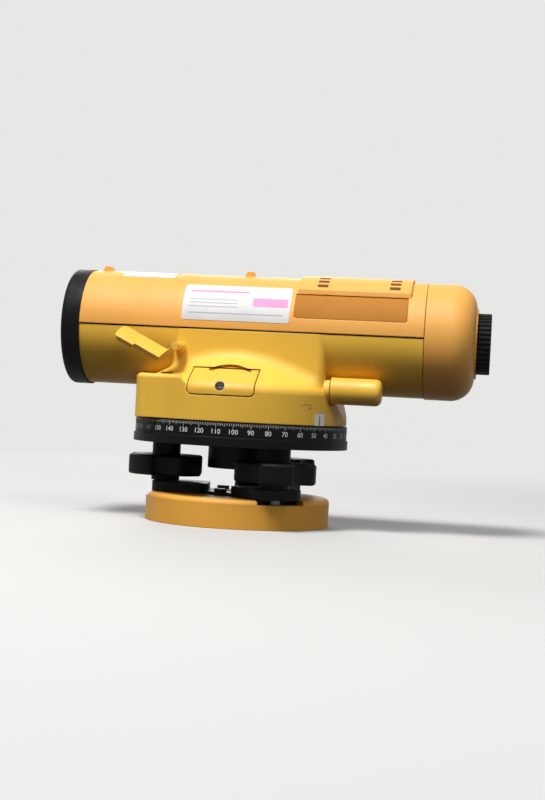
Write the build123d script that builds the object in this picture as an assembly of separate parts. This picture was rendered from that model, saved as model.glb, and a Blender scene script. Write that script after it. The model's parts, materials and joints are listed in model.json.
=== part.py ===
from build123d import *
import math
import os

# Automatic optical level on its levelling base.
# Millimetres, +Z up. The origin is the centre of the tripod thread on the base plate's underside.
# The telescope lies along X: the objective looks towards -X and the eyepiece towards +X.

# Clearances
RUNNING_CLEARANCE = 0.05
PRESS_CLEARANCE = 0.02
LOOSE_CLEARANCE = 0.3
OVERCUT = 1.0

# Base plate
PLATE_OVERHANG = 9.8
PLATE_HEIGHT = 15.4
PLATE_EDGE_ROUND = 2.5
PLATE_RIM = 7.0
PLATE_BOSS_RADIUS = 15.0
PLATE_RELIEF = 1.2
THREAD_RADIUS = 6.75

# Spring plate on the base plate
SPRING_THICKNESS = 1.6
SPRING_HUB_RADIUS = 22.0
SPRING_ARM_OVERHANG = 6.2
SPRING_ARM_INNER = 16.0
SPRING_ARM_WIDTH = 30.4
SPRING_ARM_HEIGHT = 5.5
SPRING_ARM_ROUND = 6.0
SPRING_SCREW_RADIUS = 2.0
SPRING_SCREW_DEPTH = 8.0
SPRING_SCREW_HEAD = 3.4
SPRING_SCREW_HEAD_HEIGHT = 1.8
SPRING_SCREW_CIRCLE = 18.0

# Foot screws
FOOT_COUNT = 3
FOOT_INSET = 12.3
FOOT_FIRST_ANGLE = -52.0
FOOT_BALL_RADIUS = 4.5
FOOT_BALL_SINK = 3.2
FOOT_SHANK_RADIUS = 4.0
FOOT_SHANK_STANDOUT = 1.0
FOOT_SHANK_CLEARANCE = 1.0
NOTCH_DEPTH = 2.5
NOTCH_WIDTH = 27.8
KNOB_NECK_RADIUS = 7.7
KNOB_NECK_HEIGHT = 3.0
KNOB_HUB_GAP = 1.4
KNOB_HEIGHT = 11.0
KNOB_LOBES = 4
KNOB_LOBE_ROUND = 3.0
KNOB_EDGE_ROUND = 1.6
KNOB_TURNS = {"front": -80.0, "back": -65.0, "left": -35.0}
SCALLOP_RADIUS = 9.0
SCALLOP_DEPTH = 4.9
COLLAR_RADIUS = 7.7
COLLAR_HEIGHT = 8.1
LEVEL_ROOM = 2.2

# Levelling head
HEAD_THICKNESS = 7.0
HUB_RADIUS = 17.5
HUB_DEPTH = 16.0
HUB_RECESS_RADIUS = 13.0
HUB_RECESS_DEPTH = 4.5
NUT_RADIUS = 7.0
NUT_CLEARANCE = 0.3
NUT_SWIVEL_CLEARANCE = 0.25
PILLAR_SHOULDER_RADIUS = 16.0
PILLAR_RADIUS = 13.0

# Vertical axis
SPINDLE_RADIUS = 7.0
BUSH_WALL = 2.5
SPINDLE_FLANGE_RADIUS = 16.0
SPINDLE_FLANGE_THICKNESS = 1.6
BUSH_STANDOUT = 0.5
SPINDLE_NUT_RADIUS = 11.0
SPINDLE_NUT_HEIGHT = 3.2
SPINDLE_SCREW_COUNT = 3
SPINDLE_SCREW_RADIUS = 1.5
SPINDLE_SCREW_CIRCLE = 11.5

# Slow-motion drive
DRIVE_RISE = 22.0
WHEEL_TEETH = 48
WHEEL_MODULE = 0.85
WHEEL_THICKNESS = 8.0
CLUTCH_SPRING_THICKNESS = 1.0
CIRCLIP_THICKNESS = 1.0
CIRCLIP_WIDTH = 3.0
WORM_RADIUS = 4.4
WORM_LENGTH = 16.0
WORM_GROOVE = 0.9
WORM_SHAFT_RADIUS = 2.5
WORM_POST_THICKNESS = 4.0
WORM_POST_WIDTH = 10.0
WORM_POST_GAP = 3.0
TANGENT_KNOB_RADIUS = 7.1
TANGENT_KNOB_LENGTH = 26.8
TANGENT_KNOB_ROUND = 3.4
TANGENT_KNOB_GAP = 0.6
TANGENT_BOSS_RADIUS = 5.6

# Horizontal circle
CIRCLE_RADIUS = 58.0
CIRCLE_WALL = 5.2
CIRCLE_FLANGE_STANDOUT = 0.7
CIRCLE_FLANGE_HEIGHT = 4.7
CIRCLE_DROP = 2.8
CIRCLE_LIP = 2.5
CIRCLE_LIP_WIDTH = 3.8
CIRCLE_LIP_GAP = 0.2

# Lower housing
HOUSING_WALL = 3.2
HOUSING_GAP = 0.5
SKIRT_INSET = 0.5
SKIRT_HEIGHT = 18.8
SHOULDER_ANGLE = 31.0
NECK_HALF_WIDTH = 31.0
NECK_FRONT_INSET = 23.5
NECK_CORNER_INSET = 0.36
NECK_ROUND = 4.0
NECK_FOOT_SHARE = 0.3
SHOULDER_ROUND = 6.0
REAR_FLARE_LOW = 3.0
WEB_THICKNESS = 3.0
AXIS_RISE = 19.0
BOTTOM_PLATE_INSET = 1.3
BOTTOM_PLATE_THICKNESS = 2.0
BOTTOM_SCREW_COUNT = 4
BOTTOM_SCREW_RADIUS = 1.5
BOTTOM_SCREW_LENGTH = 9.0
BOTTOM_BOSS_RADIUS = 4.0

# Index mark
INDEX_ANGLE = -35.0
INDEX_WIDTH = 7.2
INDEX_HEIGHT = 6.4
INDEX_DEPTH = 1.2

# Circular bubble
BUBBLE_FRONT_INSET = 17.0
BUBBLE_SIDE_INSET = 22.5
BOSS_HEIGHT = 4.4
BOSS_HALF_LENGTH = 10.0
BOSS_HALF_WIDTH = 11.0
BOSS_ROUND = 7.0
BOSS_REAR_LENGTH = 18.9
BOSS_INNER_WIDTH = 15.0
BOSS_EDGE_ROUND = 2.4
BOSS_FOOT_ROUND = 4.0
BUBBLE_RADIUS = 7.0
BUBBLE_WALL = 1.6
BUBBLE_HEIGHT = 5.0
BUBBLE_FLOOR = 1.4

# Mirror flap
MIRROR_HINGE_SETBACK = 11.0
MIRROR_HINGE_RISE = 14.6
MIRROR_PIN_RADIUS = 1.0
MIRROR_PIN_COVER = 1.2
MIRROR_KNUCKLE_RADIUS = 2.1
MIRROR_LUG_RADIUS = 2.8
MIRROR_STANDOUT = 5.6
MIRROR_WIDTH = 12.0
MIRROR_LENGTH = 27.0
MIRROR_THICKNESS = 2.6
MIRROR_SLOPE = 26.4
MIRROR_ROLL = 31.9
MIRROR_ARM_LENGTH = 5.9
MIRROR_ARM_DROP = 1.3
MIRROR_ARM_THICKNESS = 1.8
MIRROR_CORNER_ROUND = 3.0
MIRROR_EDGE_ROUND = 0.7
MIRROR_GLASS_THICKNESS = 1.0
MIRROR_GLASS_DEPTH = 1.3
MIRROR_GLASS_MARGIN = 1.6
MIRROR_STEP = 1.6
MIRROR_STEP_LENGTH = 15.0

# Service cover on the front of the shoulder
COVER_LEFT = -20.0
COVER_RIGHT = 15.0
COVER_DROP = 5.2
COVER_RISE = 8.5
COVER_THICKNESS = 4.2
COVER_BACKING = 2.0
COVER_SEAM = 0.6
COVER_CORNER_ROUND = 2.4
COVER_SCOOP_RADIUS = 24.0
COVER_SCOOP_DROP = 3.6
COVER_SCOOP_RISE = 2.4
COVER_SCOOP_DEPTH = 1.6
COVER_SCOOP_OFFSET = 2.5
COVER_SCREW_RADIUS = 1.3
COVER_SCREW_HEAD = 2.5
COVER_SCREW_HEAD_HEIGHT = 1.2
COVER_SCREW_SINK = 2.9
COVER_SCREW_DROP = 0.8
SCREW_SLOT_WIDTH = 0.7
SCREW_SLOT_DEPTH = 0.5

# Telescope tube
TUBE_RADIUS = 30.8
TUBE_WALL = 3.0
TUBE_FRONT = -86.3
TUBE_REAR = 99.0
SEAM_GAP = 0.8
TOP_PROUD = 0.5
PAD_FRONT = 31.0
PAD_REAR = 91.0
PAD_HEIGHT = 1.6
PAD_ANGLE = 47.0
PAD_SLOPE_ANGLE = 4.0
PANEL_INSET = 1.0
PANEL_DEPTH = 0.6
PANEL_LOW_ANGLE = 15.0
PANEL_HIGH_ANGLE = 43.0
SIGHT_LENGTH = 6.5
SIGHT_WIDTH = 5.0
SIGHT_HEIGHT = 2.6
FRONT_SIGHT = -79.5
REAR_SIGHT = 1.0

# Rear cap and eyepiece
CAP_LENGTH = 26.0
CAP_ROUND = 12.5
CAP_WALL = 3.2
MOUNT_FLANGE_THICKNESS = 5.0
MOUNT_INSET = 2.0
BARREL_RADIUS = 16.8
BARREL_WALL = 3.0
LOCK_RING_RADIUS = 19.0
LOCK_RING_THICKNESS = 1.3
LOCK_RING_SINK = 2.6
LOCK_RIM_LENGTH = 2.2
LOCK_RIM_GAP = 0.6
EYEPIECE_RADIUS = 16.4
EYEPIECE_LENGTH = 7.8
EYEPIECE_LIP = 1.6
EYEPIECE_APERTURE = 8.5
EYEPIECE_TRAVEL = 1.2
EYEPIECE_RIBS = 38
EYEPIECE_RIB_DEPTH = 0.7
EYEPIECE_ROUND = 0.8
EYE_TUBE_LENGTH = 31.0
EYE_TUBE_WALL = 2.4
EYE_LENS_THICKNESS = 5.0
FIELD_LENS_THICKNESS = 4.0
RETICLE_RADIUS = 8.0
RETICLE_THICKNESS = 1.5
RETICLE_HOLDER_THICKNESS = 4.0

# Objective
HOOD_PROUD = 0.9
HOOD_LENGTH = 10.5
HOOD_WALL = 7.2
HOOD_ROUND = 2.4
CELL_FLANGE_LENGTH = 6.0
CELL_RADIUS = 20.0
CELL_LENGTH = 26.0
LENS_RADIUS = 17.5
LENS_LIP = 1.5
CROWN_THICKNESS = 6.0
CROWN_CURVE = 60.0
FLINT_THICKNESS = 3.5
RETAINER_THICKNESS = 2.0
RETAINER_WIDTH = 3.0

# Focusing
FOCUS_X = -25.0
FOCUS_DROP = 6.0
FOCUS_MODULE = 0.6
PINION_TEETH = 12
RACK_HEIGHT = 3.6
RACK_WIDTH = 5.0
RACK_GAP = 1.2
RACK_SPARE = 3.1
FOCUS_TRAVEL = 7.9
FOCUS_SHAFT_RADIUS = 2.5
FOCUS_BUSH_WALL = 2.5
FOCUS_KNOB_RADIUS = 14.0
FOCUS_KNOB_LENGTH = 14.0
FOCUS_KNOB_GAP = 6.0
FOCUS_KNOB_RIBS = 30
FOCUS_KNOB_RIB_DEPTH = 0.7
FOCUS_KNOB_ROUND = 1.5
CARRIAGE_RADIUS = 13.0
CARRIAGE_WALL = 2.6
CARRIAGE_LENGTH = 18.0
CARRIAGE_FRONT = -50.0
FOCUS_LENS_THICKNESS = 4.0
ROD_RADIUS = 2.0
EAR_RADIUS = 3.2
EAR_CLEARANCE = 0.5
EAR_LENGTH = 8.0

# Compensator
FRAME_FRONT = -4.0
FRAME_LENGTH = 38.0
FRAME_HALF_WIDTH = 18.0
FRAME_WALL = 3.0
FRAME_HEIGHT = 36.0
FRAME_WINDOW = 12.0
BRIDGE_LENGTH = 12.0
TRAY_DROP = 7.0
PRISM_LENGTH = 11.0
PRISM_HALF_WIDTH = 6.5
PRISM_HEIGHT = 14.0
PENDULUM_LENGTH = 6.0
PENDULUM_HALF_WIDTH = 11.0
PENDULUM_ARM = 2.0
PENDULUM_CLEARANCE = 0.8
PENDULUM_SWING_ROOM = 1.0
TAPE_LENGTH = 2.0
TAPE_THICKNESS = 0.4
TAPE_WIDTH = 3.0
TAPE_SPACING = 3.4
PENDULUM_MIRROR_THICKNESS = 1.4
TAIL_LENGTH = 9.0
TAIL_HALF_WIDTH = 4.0
TAIL_THICKNESS = 1.0
MAGNET_LENGTH = 7.0

# Heights that follow from the sizes above, from the base plate upwards
NOTCH_FLOOR = PLATE_HEIGHT - NOTCH_DEPTH
BALL_CENTRE = NOTCH_FLOOR - FOOT_BALL_SINK - FOOT_BALL_RADIUS / 2
ARM_TOP = PLATE_HEIGHT + SPRING_ARM_HEIGHT
KNOB_NECK_BOTTOM = ARM_TOP + LOOSE_CLEARANCE
KNOB_BOTTOM = KNOB_NECK_BOTTOM + KNOB_NECK_HEIGHT
KNOB_TOP = KNOB_BOTTOM + KNOB_HEIGHT
COLLAR_TOP = KNOB_TOP + COLLAR_HEIGHT
HEAD_BOTTOM = COLLAR_TOP + LEVEL_ROOM
HEAD_TOP = HEAD_BOTTOM + HEAD_THICKNESS
HUB_BOTTOM = HEAD_BOTTOM - HUB_DEPTH
CIRCLE_BOTTOM = HEAD_BOTTOM - CIRCLE_DROP
CIRCLE_TOP = HEAD_TOP + CIRCLE_LIP_GAP + CIRCLE_LIP
SKIRT_BOTTOM = CIRCLE_TOP + HOUSING_GAP
SKIRT_TOP = SKIRT_BOTTOM + SKIRT_HEIGHT
DRIVE_Z = HEAD_TOP + DRIVE_RISE
WHEEL_BOTTOM = DRIVE_Z - WHEEL_THICKNESS / 2
WHEEL_TOP = DRIVE_Z + WHEEL_THICKNESS / 2
CLUTCH_BOTTOM = WHEEL_BOTTOM - CLUTCH_SPRING_THICKNESS - RUNNING_CLEARANCE
CIRCLIP_BOTTOM = WHEEL_TOP + RUNNING_CLEARANCE
PILLAR_TOP = CIRCLIP_BOTTOM + CIRCLIP_THICKNESS
FLANGE_BOTTOM = PILLAR_TOP + BUSH_STANDOUT + RUNNING_CLEARANCE
WEB_BOTTOM = FLANGE_BOTTOM + SPINDLE_FLANGE_THICKNESS
WEB_TOP = WEB_BOTTOM + WEB_THICKNESS
AXIS_Z = WEB_TOP + AXIS_RISE
BOTTOM_PLATE_LOW = SKIRT_BOTTOM + BOTTOM_PLATE_INSET
BOTTOM_PLATE_TOP = BOTTOM_PLATE_LOW + BOTTOM_PLATE_THICKNESS
BOSS_TOP = SKIRT_TOP + BOSS_HEIGHT
MIRROR_HINGE_Z = BOSS_TOP + MIRROR_HINGE_RISE
COVER_SCREW_Z = SKIRT_TOP - COVER_SCREW_DROP

# Radii and places that follow from the sizes above
HEAD_RADIUS = CIRCLE_RADIUS - CIRCLE_WALL
CIRCLE_FLANGE_RADIUS = CIRCLE_RADIUS + CIRCLE_FLANGE_STANDOUT
SKIRT_RADIUS = CIRCLE_RADIUS - SKIRT_INSET
FOOT_CIRCLE = HEAD_RADIUS - FOOT_INSET
PLATE_RADIUS = FOOT_CIRCLE + PLATE_OVERHANG
SPRING_ARM_REACH = FOOT_CIRCLE + SPRING_ARM_OVERHANG
KNOB_RADIUS = FOOT_CIRCLE - HUB_RADIUS - KNOB_HUB_GAP
NECK_FRONT = NECK_FRONT_INSET - SKIRT_RADIUS
NECK_REAR = math.sqrt((SKIRT_RADIUS - NECK_CORNER_INSET) ** 2 - NECK_HALF_WIDTH ** 2)
NECK_FOOT_ROUND = NECK_FOOT_SHARE * (SKIRT_RADIUS - NECK_HALF_WIDTH)
BUBBLE_X = BUBBLE_FRONT_INSET - SKIRT_RADIUS
BUBBLE_Y = BUBBLE_SIDE_INSET - SKIRT_RADIUS
BOSS_REAR = BUBBLE_X + BOSS_REAR_LENGTH
BOSS_INNER = BUBBLE_Y + BOSS_INNER_WIDTH
MIRROR_HINGE_X = BUBBLE_X + MIRROR_HINGE_SETBACK
MIRROR_INNER = NECK_HALF_WIDTH + MIRROR_STANDOUT
MIRROR_OUTER = MIRROR_INNER + MIRROR_WIDTH * math.cos(math.radians(MIRROR_ROLL))
COVER_MIDDLE = (COVER_LEFT + COVER_RIGHT) / 2
COVER_SCREW_FACE = COVER_SCREW_SINK - SKIRT_RADIUS
COVER_SCREW_FLOOR = COVER_SCREW_FACE + COVER_SCREW_HEAD_HEIGHT
COVER_SCREW_END = COVER_THICKNESS + COVER_SEAM + COVER_BACKING - SKIRT_RADIUS
ROD_OFFSET = AXIS_RISE - EAR_RADIUS - EAR_CLEARANCE
RACK_REACH = FOCUS_TRAVEL + RACK_SPARE
BUSH_RADIUS = SPINDLE_RADIUS + RUNNING_CLEARANCE + BUSH_WALL
BUSH_BOTTOM = HUB_BOTTOM + HUB_RECESS_DEPTH
WHEEL_RADIUS = WHEEL_MODULE * WHEEL_TEETH / 2
WORM_Y = -(WHEEL_RADIUS + WORM_RADIUS + LOOSE_CLEARANCE)
SHOULDER_SLOPE = math.tan(math.radians(SHOULDER_ANGLE))
CAVITY_RADIUS = SKIRT_RADIUS - HOUSING_WALL
BORE_RADIUS = TUBE_RADIUS - TUBE_WALL
TOP_RADIUS = TUBE_RADIUS + TOP_PROUD
HOOD_RADIUS = TUBE_RADIUS + HOOD_PROUD
HOOD_BORE = HOOD_RADIUS - HOOD_WALL
SHOULDER_TOP_RADIUS = min(NECK_HALF_WIDTH, -NECK_FRONT) - NECK_ROUND
CELL_SEAT_RADIUS = BORE_RADIUS - PRESS_CLEARANCE
FOOT_POINTS = [
    (
        FOOT_CIRCLE * math.cos(math.radians(FOOT_FIRST_ANGLE + 360.0 / FOOT_COUNT * turn)),
        FOOT_CIRCLE * math.sin(math.radians(FOOT_FIRST_ANGLE + 360.0 / FOOT_COUNT * turn)),
    )
    for turn in range(FOOT_COUNT)
]
FOOT_NAMES = ["front", "back", "left"]
SWIVEL_FOOT = "left"
CAP_START = TUBE_REAR + LOOSE_CLEARANCE
CAP_END = CAP_START + CAP_LENGTH
MOUNT_FLANGE_START = TUBE_REAR - MOUNT_INSET - MOUNT_FLANGE_THICKNESS
BARREL_BORE = BARREL_RADIUS - BARREL_WALL
EYE_TUBE_RADIUS = BARREL_BORE - RUNNING_CLEARANCE
LOCK_RING_START = CAP_END - LOCK_RING_SINK
LOCK_RING_END = LOCK_RING_START + LOCK_RING_THICKNESS
EYEPIECE_START = LOCK_RING_END + EYEPIECE_TRAVEL + LOOSE_CLEARANCE
EYEPIECE_END = EYEPIECE_START + EYEPIECE_LENGTH
EYE_TUBE_END = EYEPIECE_END - EYEPIECE_LIP
EYE_TUBE_START = EYE_TUBE_END - EYE_TUBE_LENGTH
EYE_LENS_RADIUS = EYE_TUBE_RADIUS - EYE_TUBE_WALL
CELL_BORE = LENS_RADIUS + PRESS_CLEARANCE
CELL_END = TUBE_FRONT + CELL_LENGTH
FOCUS_Z = AXIS_Z - FOCUS_DROP
PINION_RADIUS = FOCUS_MODULE * PINION_TEETH / 2
TOOTH_PITCH = math.pi * FOCUS_MODULE
RACK_INNER = CARRIAGE_RADIUS + RACK_GAP
FOCUS_BUSH_RADIUS = FOCUS_SHAFT_RADIUS + RUNNING_CLEARANCE + FOCUS_BUSH_WALL
FOCUS_BUSH_INNER = NECK_HALF_WIDTH - HOUSING_WALL
FOCUS_KNOB_START = NECK_HALF_WIDTH + FOCUS_KNOB_GAP
CARRIAGE_REAR = CARRIAGE_FRONT + CARRIAGE_LENGTH
FRAME_REAR = FRAME_FRONT + FRAME_LENGTH
FRAME_MIDDLE = (FRAME_FRONT + FRAME_REAR) / 2
FRAME_TOP = WEB_TOP + FRAME_HEIGHT
TRAY_TOP = AXIS_Z - TRAY_DROP
BRIDGE_BOTTOM = FRAME_TOP - FRAME_WALL
PENDULUM_TOP = BRIDGE_BOTTOM - TAPE_LENGTH - RUNNING_CLEARANCE
PENDULUM_FLOOR = WEB_TOP + FRAME_WALL + PENDULUM_SWING_ROOM

# Shares of a gear tooth: heights in modules, flank places in half pitches
TOOTH_ADDENDUM = 0.8
TOOTH_DEDENDUM = 1.1
PINION_ROOT_SHARE = 0.62
PINION_TIP_SHARE = 0.2
RACK_ROOT_SHARE = 0.68
RACK_TIP_SHARE = 0.24
WHEEL_ROOT_SHARE = 0.6
WHEEL_TIP_SHARE = 0.4
RIB_ROOT_SHARE = 0.62
RIB_TIP_SHARE = 0.38

UPRIGHT = (Align.CENTER, Align.CENTER, Align.MIN)
TELESCOPE_AXIS = Axis((0, 0, AXIS_Z), (1, 0, 0))


# Building blocks

def disc(radius, low, high, x=0.0, y=0.0):
    """Upright cylinder between two heights."""
    return Pos(x, y, low) * Cylinder(radius, high - low, align=UPRIGHT)


def washer(outer, inner, low, high, x=0.0, y=0.0):
    """Upright ring between two heights."""
    return disc(outer, low, high, x, y) - disc(inner, low - OVERCUT, high + OVERCUT, x, y)


def bar(radius, start, end, y=0.0, z=AXIS_Z):
    """Cylinder along X between two places."""
    return Pos(start, y, z) * Rot(0, 90, 0) * Cylinder(radius, end - start, align=UPRIGHT)


def sleeve(outer, inner, start, end, y=0.0, z=AXIS_Z):
    """Ring along X between two places."""
    return bar(outer, start, end, y, z) - bar(inner, start - OVERCUT, end + OVERCUT, y, z)


def cross_bar(radius, start, end, x, z):
    """Cylinder along Y between two places."""
    return Pos(x, start, z) * Rot(-90, 0, 0) * Cylinder(radius, end - start, align=UPRIGHT)


def block(x_low, x_high, y_low, y_high, z_low, z_high):
    """Box between two corners."""
    middle = Pos((x_low + x_high) / 2, (y_low + y_high) / 2, (z_low + z_high) / 2)
    return middle * Box(x_high - x_low, y_high - y_low, z_high - z_low)


def rectangle(x_low, x_high, y_low, y_high):
    """Flat rectangle between two corners."""
    middle = Pos((x_low + x_high) / 2, (y_low + y_high) / 2)
    return middle * Rectangle(x_high - x_low, y_high - y_low)


def plate_xz(points, y_low, y_high):
    """Upright plate with an outline drawn in X and Z, between two places along Y."""
    outline = Plane.XZ * make_face(Polyline(*points, close=True))
    return Pos(0, y_high, 0) * extrude(outline, y_high - y_low)


def round_edges(solid, edges, radius):
    """Rounds the chosen edges of a solid."""
    return fillet(edges, radius) if edges else solid


def circle_points(count, radius, first=0.0):
    """Evenly spaced points on a circle about the vertical axis."""
    step = 2 * math.pi / count
    start = math.radians(first)
    return [
        (radius * math.cos(start + step * turn), radius * math.sin(start + step * turn))
        for turn in range(count)
    ]


def gear_outline(teeth, root, tip, root_share, tip_share):
    """Corner points of a straight-flanked gear whose first tooth points along the second axis."""
    step = 2 * math.pi / teeth
    corners = [(root, -root_share), (tip, -tip_share), (tip, tip_share), (root, root_share)]
    points = []
    for tooth in range(teeth):
        centre = math.pi / 2 + tooth * step
        for radius, share in corners:
            angle = centre + share * step / 2
            points.append((radius * math.cos(angle), radius * math.sin(angle)))
    return points


def fluted(radius, depth, count, length):
    """Upright grip with straight ribs: a fine gear-like outline."""
    points = gear_outline(count, radius - depth, radius, RIB_ROOT_SHARE, RIB_TIP_SHARE)
    return extrude(make_face(Polyline(*points, close=True)), length)


def lens(radius, front, rear, front_sag, rear_sag):
    """Lens turned about the telescope's axis; a sag is how far a face bulges at its centre."""
    front_arc = ThreePointArc((front, -radius), (front - front_sag, 0), (front, radius))
    rear_arc = ThreePointArc((rear, radius), (rear + rear_sag, 0), (rear, -radius))
    top = Line((front, radius), (rear, radius))
    foot = Line((rear, -radius), (front, -radius))
    whole = make_face([front_arc, top, rear_arc, foot])
    half = whole & Pos((front + rear) / 2, radius) * Rectangle(4 * radius, 2 * radius)
    return revolve(Pos(0, 0, AXIS_Z) * (Plane.XZ * half), TELESCOPE_AXIS)


# Base and foot screws

def foot_angles():
    """Directions of the foot screws."""
    return [FOOT_FIRST_ANGLE + 360.0 / FOOT_COUNT * turn for turn in range(FOOT_COUNT)]


def foot_slot(width, inner, outer, low, high):
    """Radial bars of one width towards the three foot screws."""
    half = width / 2
    bars = [Rot(0, 0, angle) * block(inner, outer, -half, half, low, high) for angle in foot_angles()]
    return bars[0] + bars[1] + bars[2]


def base_plate():
    """Round plate that screws onto a tripod, with a notch and a ball seat at each foot screw."""
    plate = disc(PLATE_RADIUS, 0, PLATE_HEIGHT)
    rim = plate.edges().filter_by(GeomType.CIRCLE).sort_by(Axis.Z)[-1:]
    plate = round_edges(plate, rim, PLATE_EDGE_ROUND)
    plate -= washer(PLATE_RADIUS - PLATE_RIM, PLATE_BOSS_RADIUS, 0, PLATE_RELIEF)
    plate -= disc(THREAD_RADIUS, -OVERCUT, PLATE_HEIGHT + OVERCUT)
    notch_end = PLATE_RADIUS + OVERCUT
    notch_top = PLATE_HEIGHT + OVERCUT
    plate -= foot_slot(NOTCH_WIDTH, SPRING_ARM_INNER, notch_end, NOTCH_FLOOR, notch_top)
    seat_radius = FOOT_BALL_RADIUS + RUNNING_CLEARANCE
    seat_floor = BALL_CENTRE - FOOT_BALL_RADIUS - RUNNING_CLEARANCE
    for x, y in FOOT_POINTS:
        plate -= disc(seat_radius, seat_floor, NOTCH_FLOOR + OVERCUT, x, y)
    for x, y in spring_screw_points():
        plate -= disc(SPRING_SCREW_RADIUS, PLATE_HEIGHT - SPRING_SCREW_DEPTH, PLATE_HEIGHT + OVERCUT, x, y)
    return plate


def spring_screw_points():
    """Places of the spring plate's screws, halfway between the foot screws."""
    return circle_points(FOOT_COUNT, SPRING_SCREW_CIRCLE, FOOT_FIRST_ANGLE + 180.0 / FOOT_COUNT)


def spring_plate():
    """Three-armed plate whose thick arms lie in the notches and hold the foot screws' ball ends down."""
    low = PLATE_HEIGHT
    star = disc(SPRING_HUB_RADIUS, low, low + SPRING_THICKNESS)
    half = SPRING_ARM_WIDTH / 2
    for angle in foot_angles():
        arm = block(SPRING_ARM_INNER, SPRING_ARM_REACH, -half, half, low, ARM_TOP)
        arm = round_edges(arm, arm.edges().filter_by(Axis.Z), SPRING_ARM_ROUND)
        star += Rot(0, 0, angle) * arm
    tongue = NOTCH_WIDTH - 2 * LOOSE_CLEARANCE
    inner = SPRING_ARM_INNER + LOOSE_CLEARANCE
    star += foot_slot(tongue, inner, SPRING_ARM_REACH - SPRING_ARM_ROUND, NOTCH_FLOOR, low + SPRING_THICKNESS)
    star -= disc(THREAD_RADIUS + LOOSE_CLEARANCE, 0, ARM_TOP + OVERCUT)
    for x, y in FOOT_POINTS:
        star -= disc(FOOT_BALL_RADIUS + RUNNING_CLEARANCE, 0, NOTCH_FLOOR, x, y)
        star -= disc(FOOT_SHANK_RADIUS + FOOT_SHANK_CLEARANCE, 0, ARM_TOP + OVERCUT, x, y)
    for x, y in spring_screw_points():
        star -= disc(SPRING_SCREW_RADIUS + PRESS_CLEARANCE, 0, ARM_TOP, x, y)
        star -= disc(SPRING_SCREW_HEAD + LOOSE_CLEARANCE, low + SPRING_THICKNESS, ARM_TOP + OVERCUT, x, y)
    return star


def spring_screws():
    """Screws that hold the spring plate."""
    seat = PLATE_HEIGHT + SPRING_THICKNESS
    screws = []
    for x, y in spring_screw_points():
        shank = disc(SPRING_SCREW_RADIUS - PRESS_CLEARANCE, PLATE_HEIGHT - SPRING_SCREW_DEPTH, seat, x, y)
        screws.append(shank + disc(SPRING_SCREW_HEAD, seat, seat + SPRING_SCREW_HEAD_HEIGHT, x, y))
    return screws


def foot_screw(x, y):
    """Steel foot screw: a ball end under a straight shank."""
    ball = Pos(x, y, BALL_CENTRE) * Sphere(FOOT_BALL_RADIUS)
    return ball + disc(FOOT_SHANK_RADIUS, BALL_CENTRE, HEAD_TOP + FOOT_SHANK_STANDOUT, x, y)


def foot_knob(x, y, turn):
    """Lobed grip with a short neck under it and a collar above it, fixed on a foot screw."""
    grip = disc(KNOB_RADIUS, KNOB_BOTTOM, KNOB_TOP)
    scallop_circle = KNOB_RADIUS - SCALLOP_DEPTH + SCALLOP_RADIUS
    for scallop_x, scallop_y in circle_points(KNOB_LOBES, scallop_circle, 180.0 / KNOB_LOBES):
        grip -= disc(SCALLOP_RADIUS, KNOB_BOTTOM - OVERCUT, KNOB_TOP + OVERCUT, scallop_x, scallop_y)
    grip = round_edges(grip, grip.edges().filter_by(Axis.Z), KNOB_LOBE_ROUND)
    grip = round_edges(grip, grip.edges().filter_by(GeomType.CIRCLE), KNOB_EDGE_ROUND)
    knob = grip + disc(KNOB_NECK_RADIUS, KNOB_NECK_BOTTOM, KNOB_BOTTOM + OVERCUT)
    knob += disc(COLLAR_RADIUS, KNOB_TOP - OVERCUT, COLLAR_TOP)
    knob -= disc(FOOT_SHANK_RADIUS + PRESS_CLEARANCE, KNOB_NECK_BOTTOM - OVERCUT, COLLAR_TOP + OVERCUT)
    return Pos(x, y, 0) * Rot(0, 0, turn) * knob


def foot_nut(x, y):
    """Brass nut of a foot screw, in the levelling head."""
    return washer(NUT_RADIUS, FOOT_SHANK_RADIUS + NUT_CLEARANCE, HEAD_BOTTOM, HEAD_TOP, x, y)


# Levelling head and vertical axis

def levelling_head():
    """Disc with a hub under it and the pillar that carries the vertical axis."""
    head = disc(HEAD_RADIUS, HEAD_BOTTOM, HEAD_TOP)
    head += disc(HUB_RADIUS, HUB_BOTTOM, HEAD_BOTTOM + OVERCUT)
    head += disc(PILLAR_SHOULDER_RADIUS, HEAD_TOP - OVERCUT, CLUTCH_BOTTOM)
    head += disc(PILLAR_RADIUS, CLUTCH_BOTTOM - OVERCUT, PILLAR_TOP)
    head -= disc(BUSH_RADIUS + PRESS_CLEARANCE, HUB_BOTTOM - OVERCUT, PILLAR_TOP + OVERCUT)
    head -= disc(HUB_RECESS_RADIUS, HUB_BOTTOM - OVERCUT, BUSH_BOTTOM)
    for x, y in FOOT_POINTS:
        head -= disc(NUT_RADIUS + NUT_SWIVEL_CLEARANCE, HEAD_BOTTOM - OVERCUT, HEAD_TOP + OVERCUT, x, y)
    return head


def axis_bush():
    """Bronze bush of the vertical axis; its top face carries the telescope."""
    bore = SPINDLE_RADIUS + RUNNING_CLEARANCE
    return washer(BUSH_RADIUS, bore, BUSH_BOTTOM, PILLAR_TOP + BUSH_STANDOUT)


def vertical_spindle():
    """Steel spindle that turns in the bush and carries the housing on its flange."""
    foot = BUSH_BOTTOM - LOOSE_CLEARANCE - SPINDLE_NUT_HEIGHT
    spindle = disc(SPINDLE_RADIUS, foot, FLANGE_BOTTOM + OVERCUT)
    spindle += disc(SPINDLE_FLANGE_RADIUS, FLANGE_BOTTOM, WEB_BOTTOM)
    for x, y in circle_points(SPINDLE_SCREW_COUNT, SPINDLE_SCREW_CIRCLE):
        spindle -= disc(SPINDLE_SCREW_RADIUS, FLANGE_BOTTOM - OVERCUT, WEB_BOTTOM + OVERCUT, x, y)
    return spindle


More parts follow.
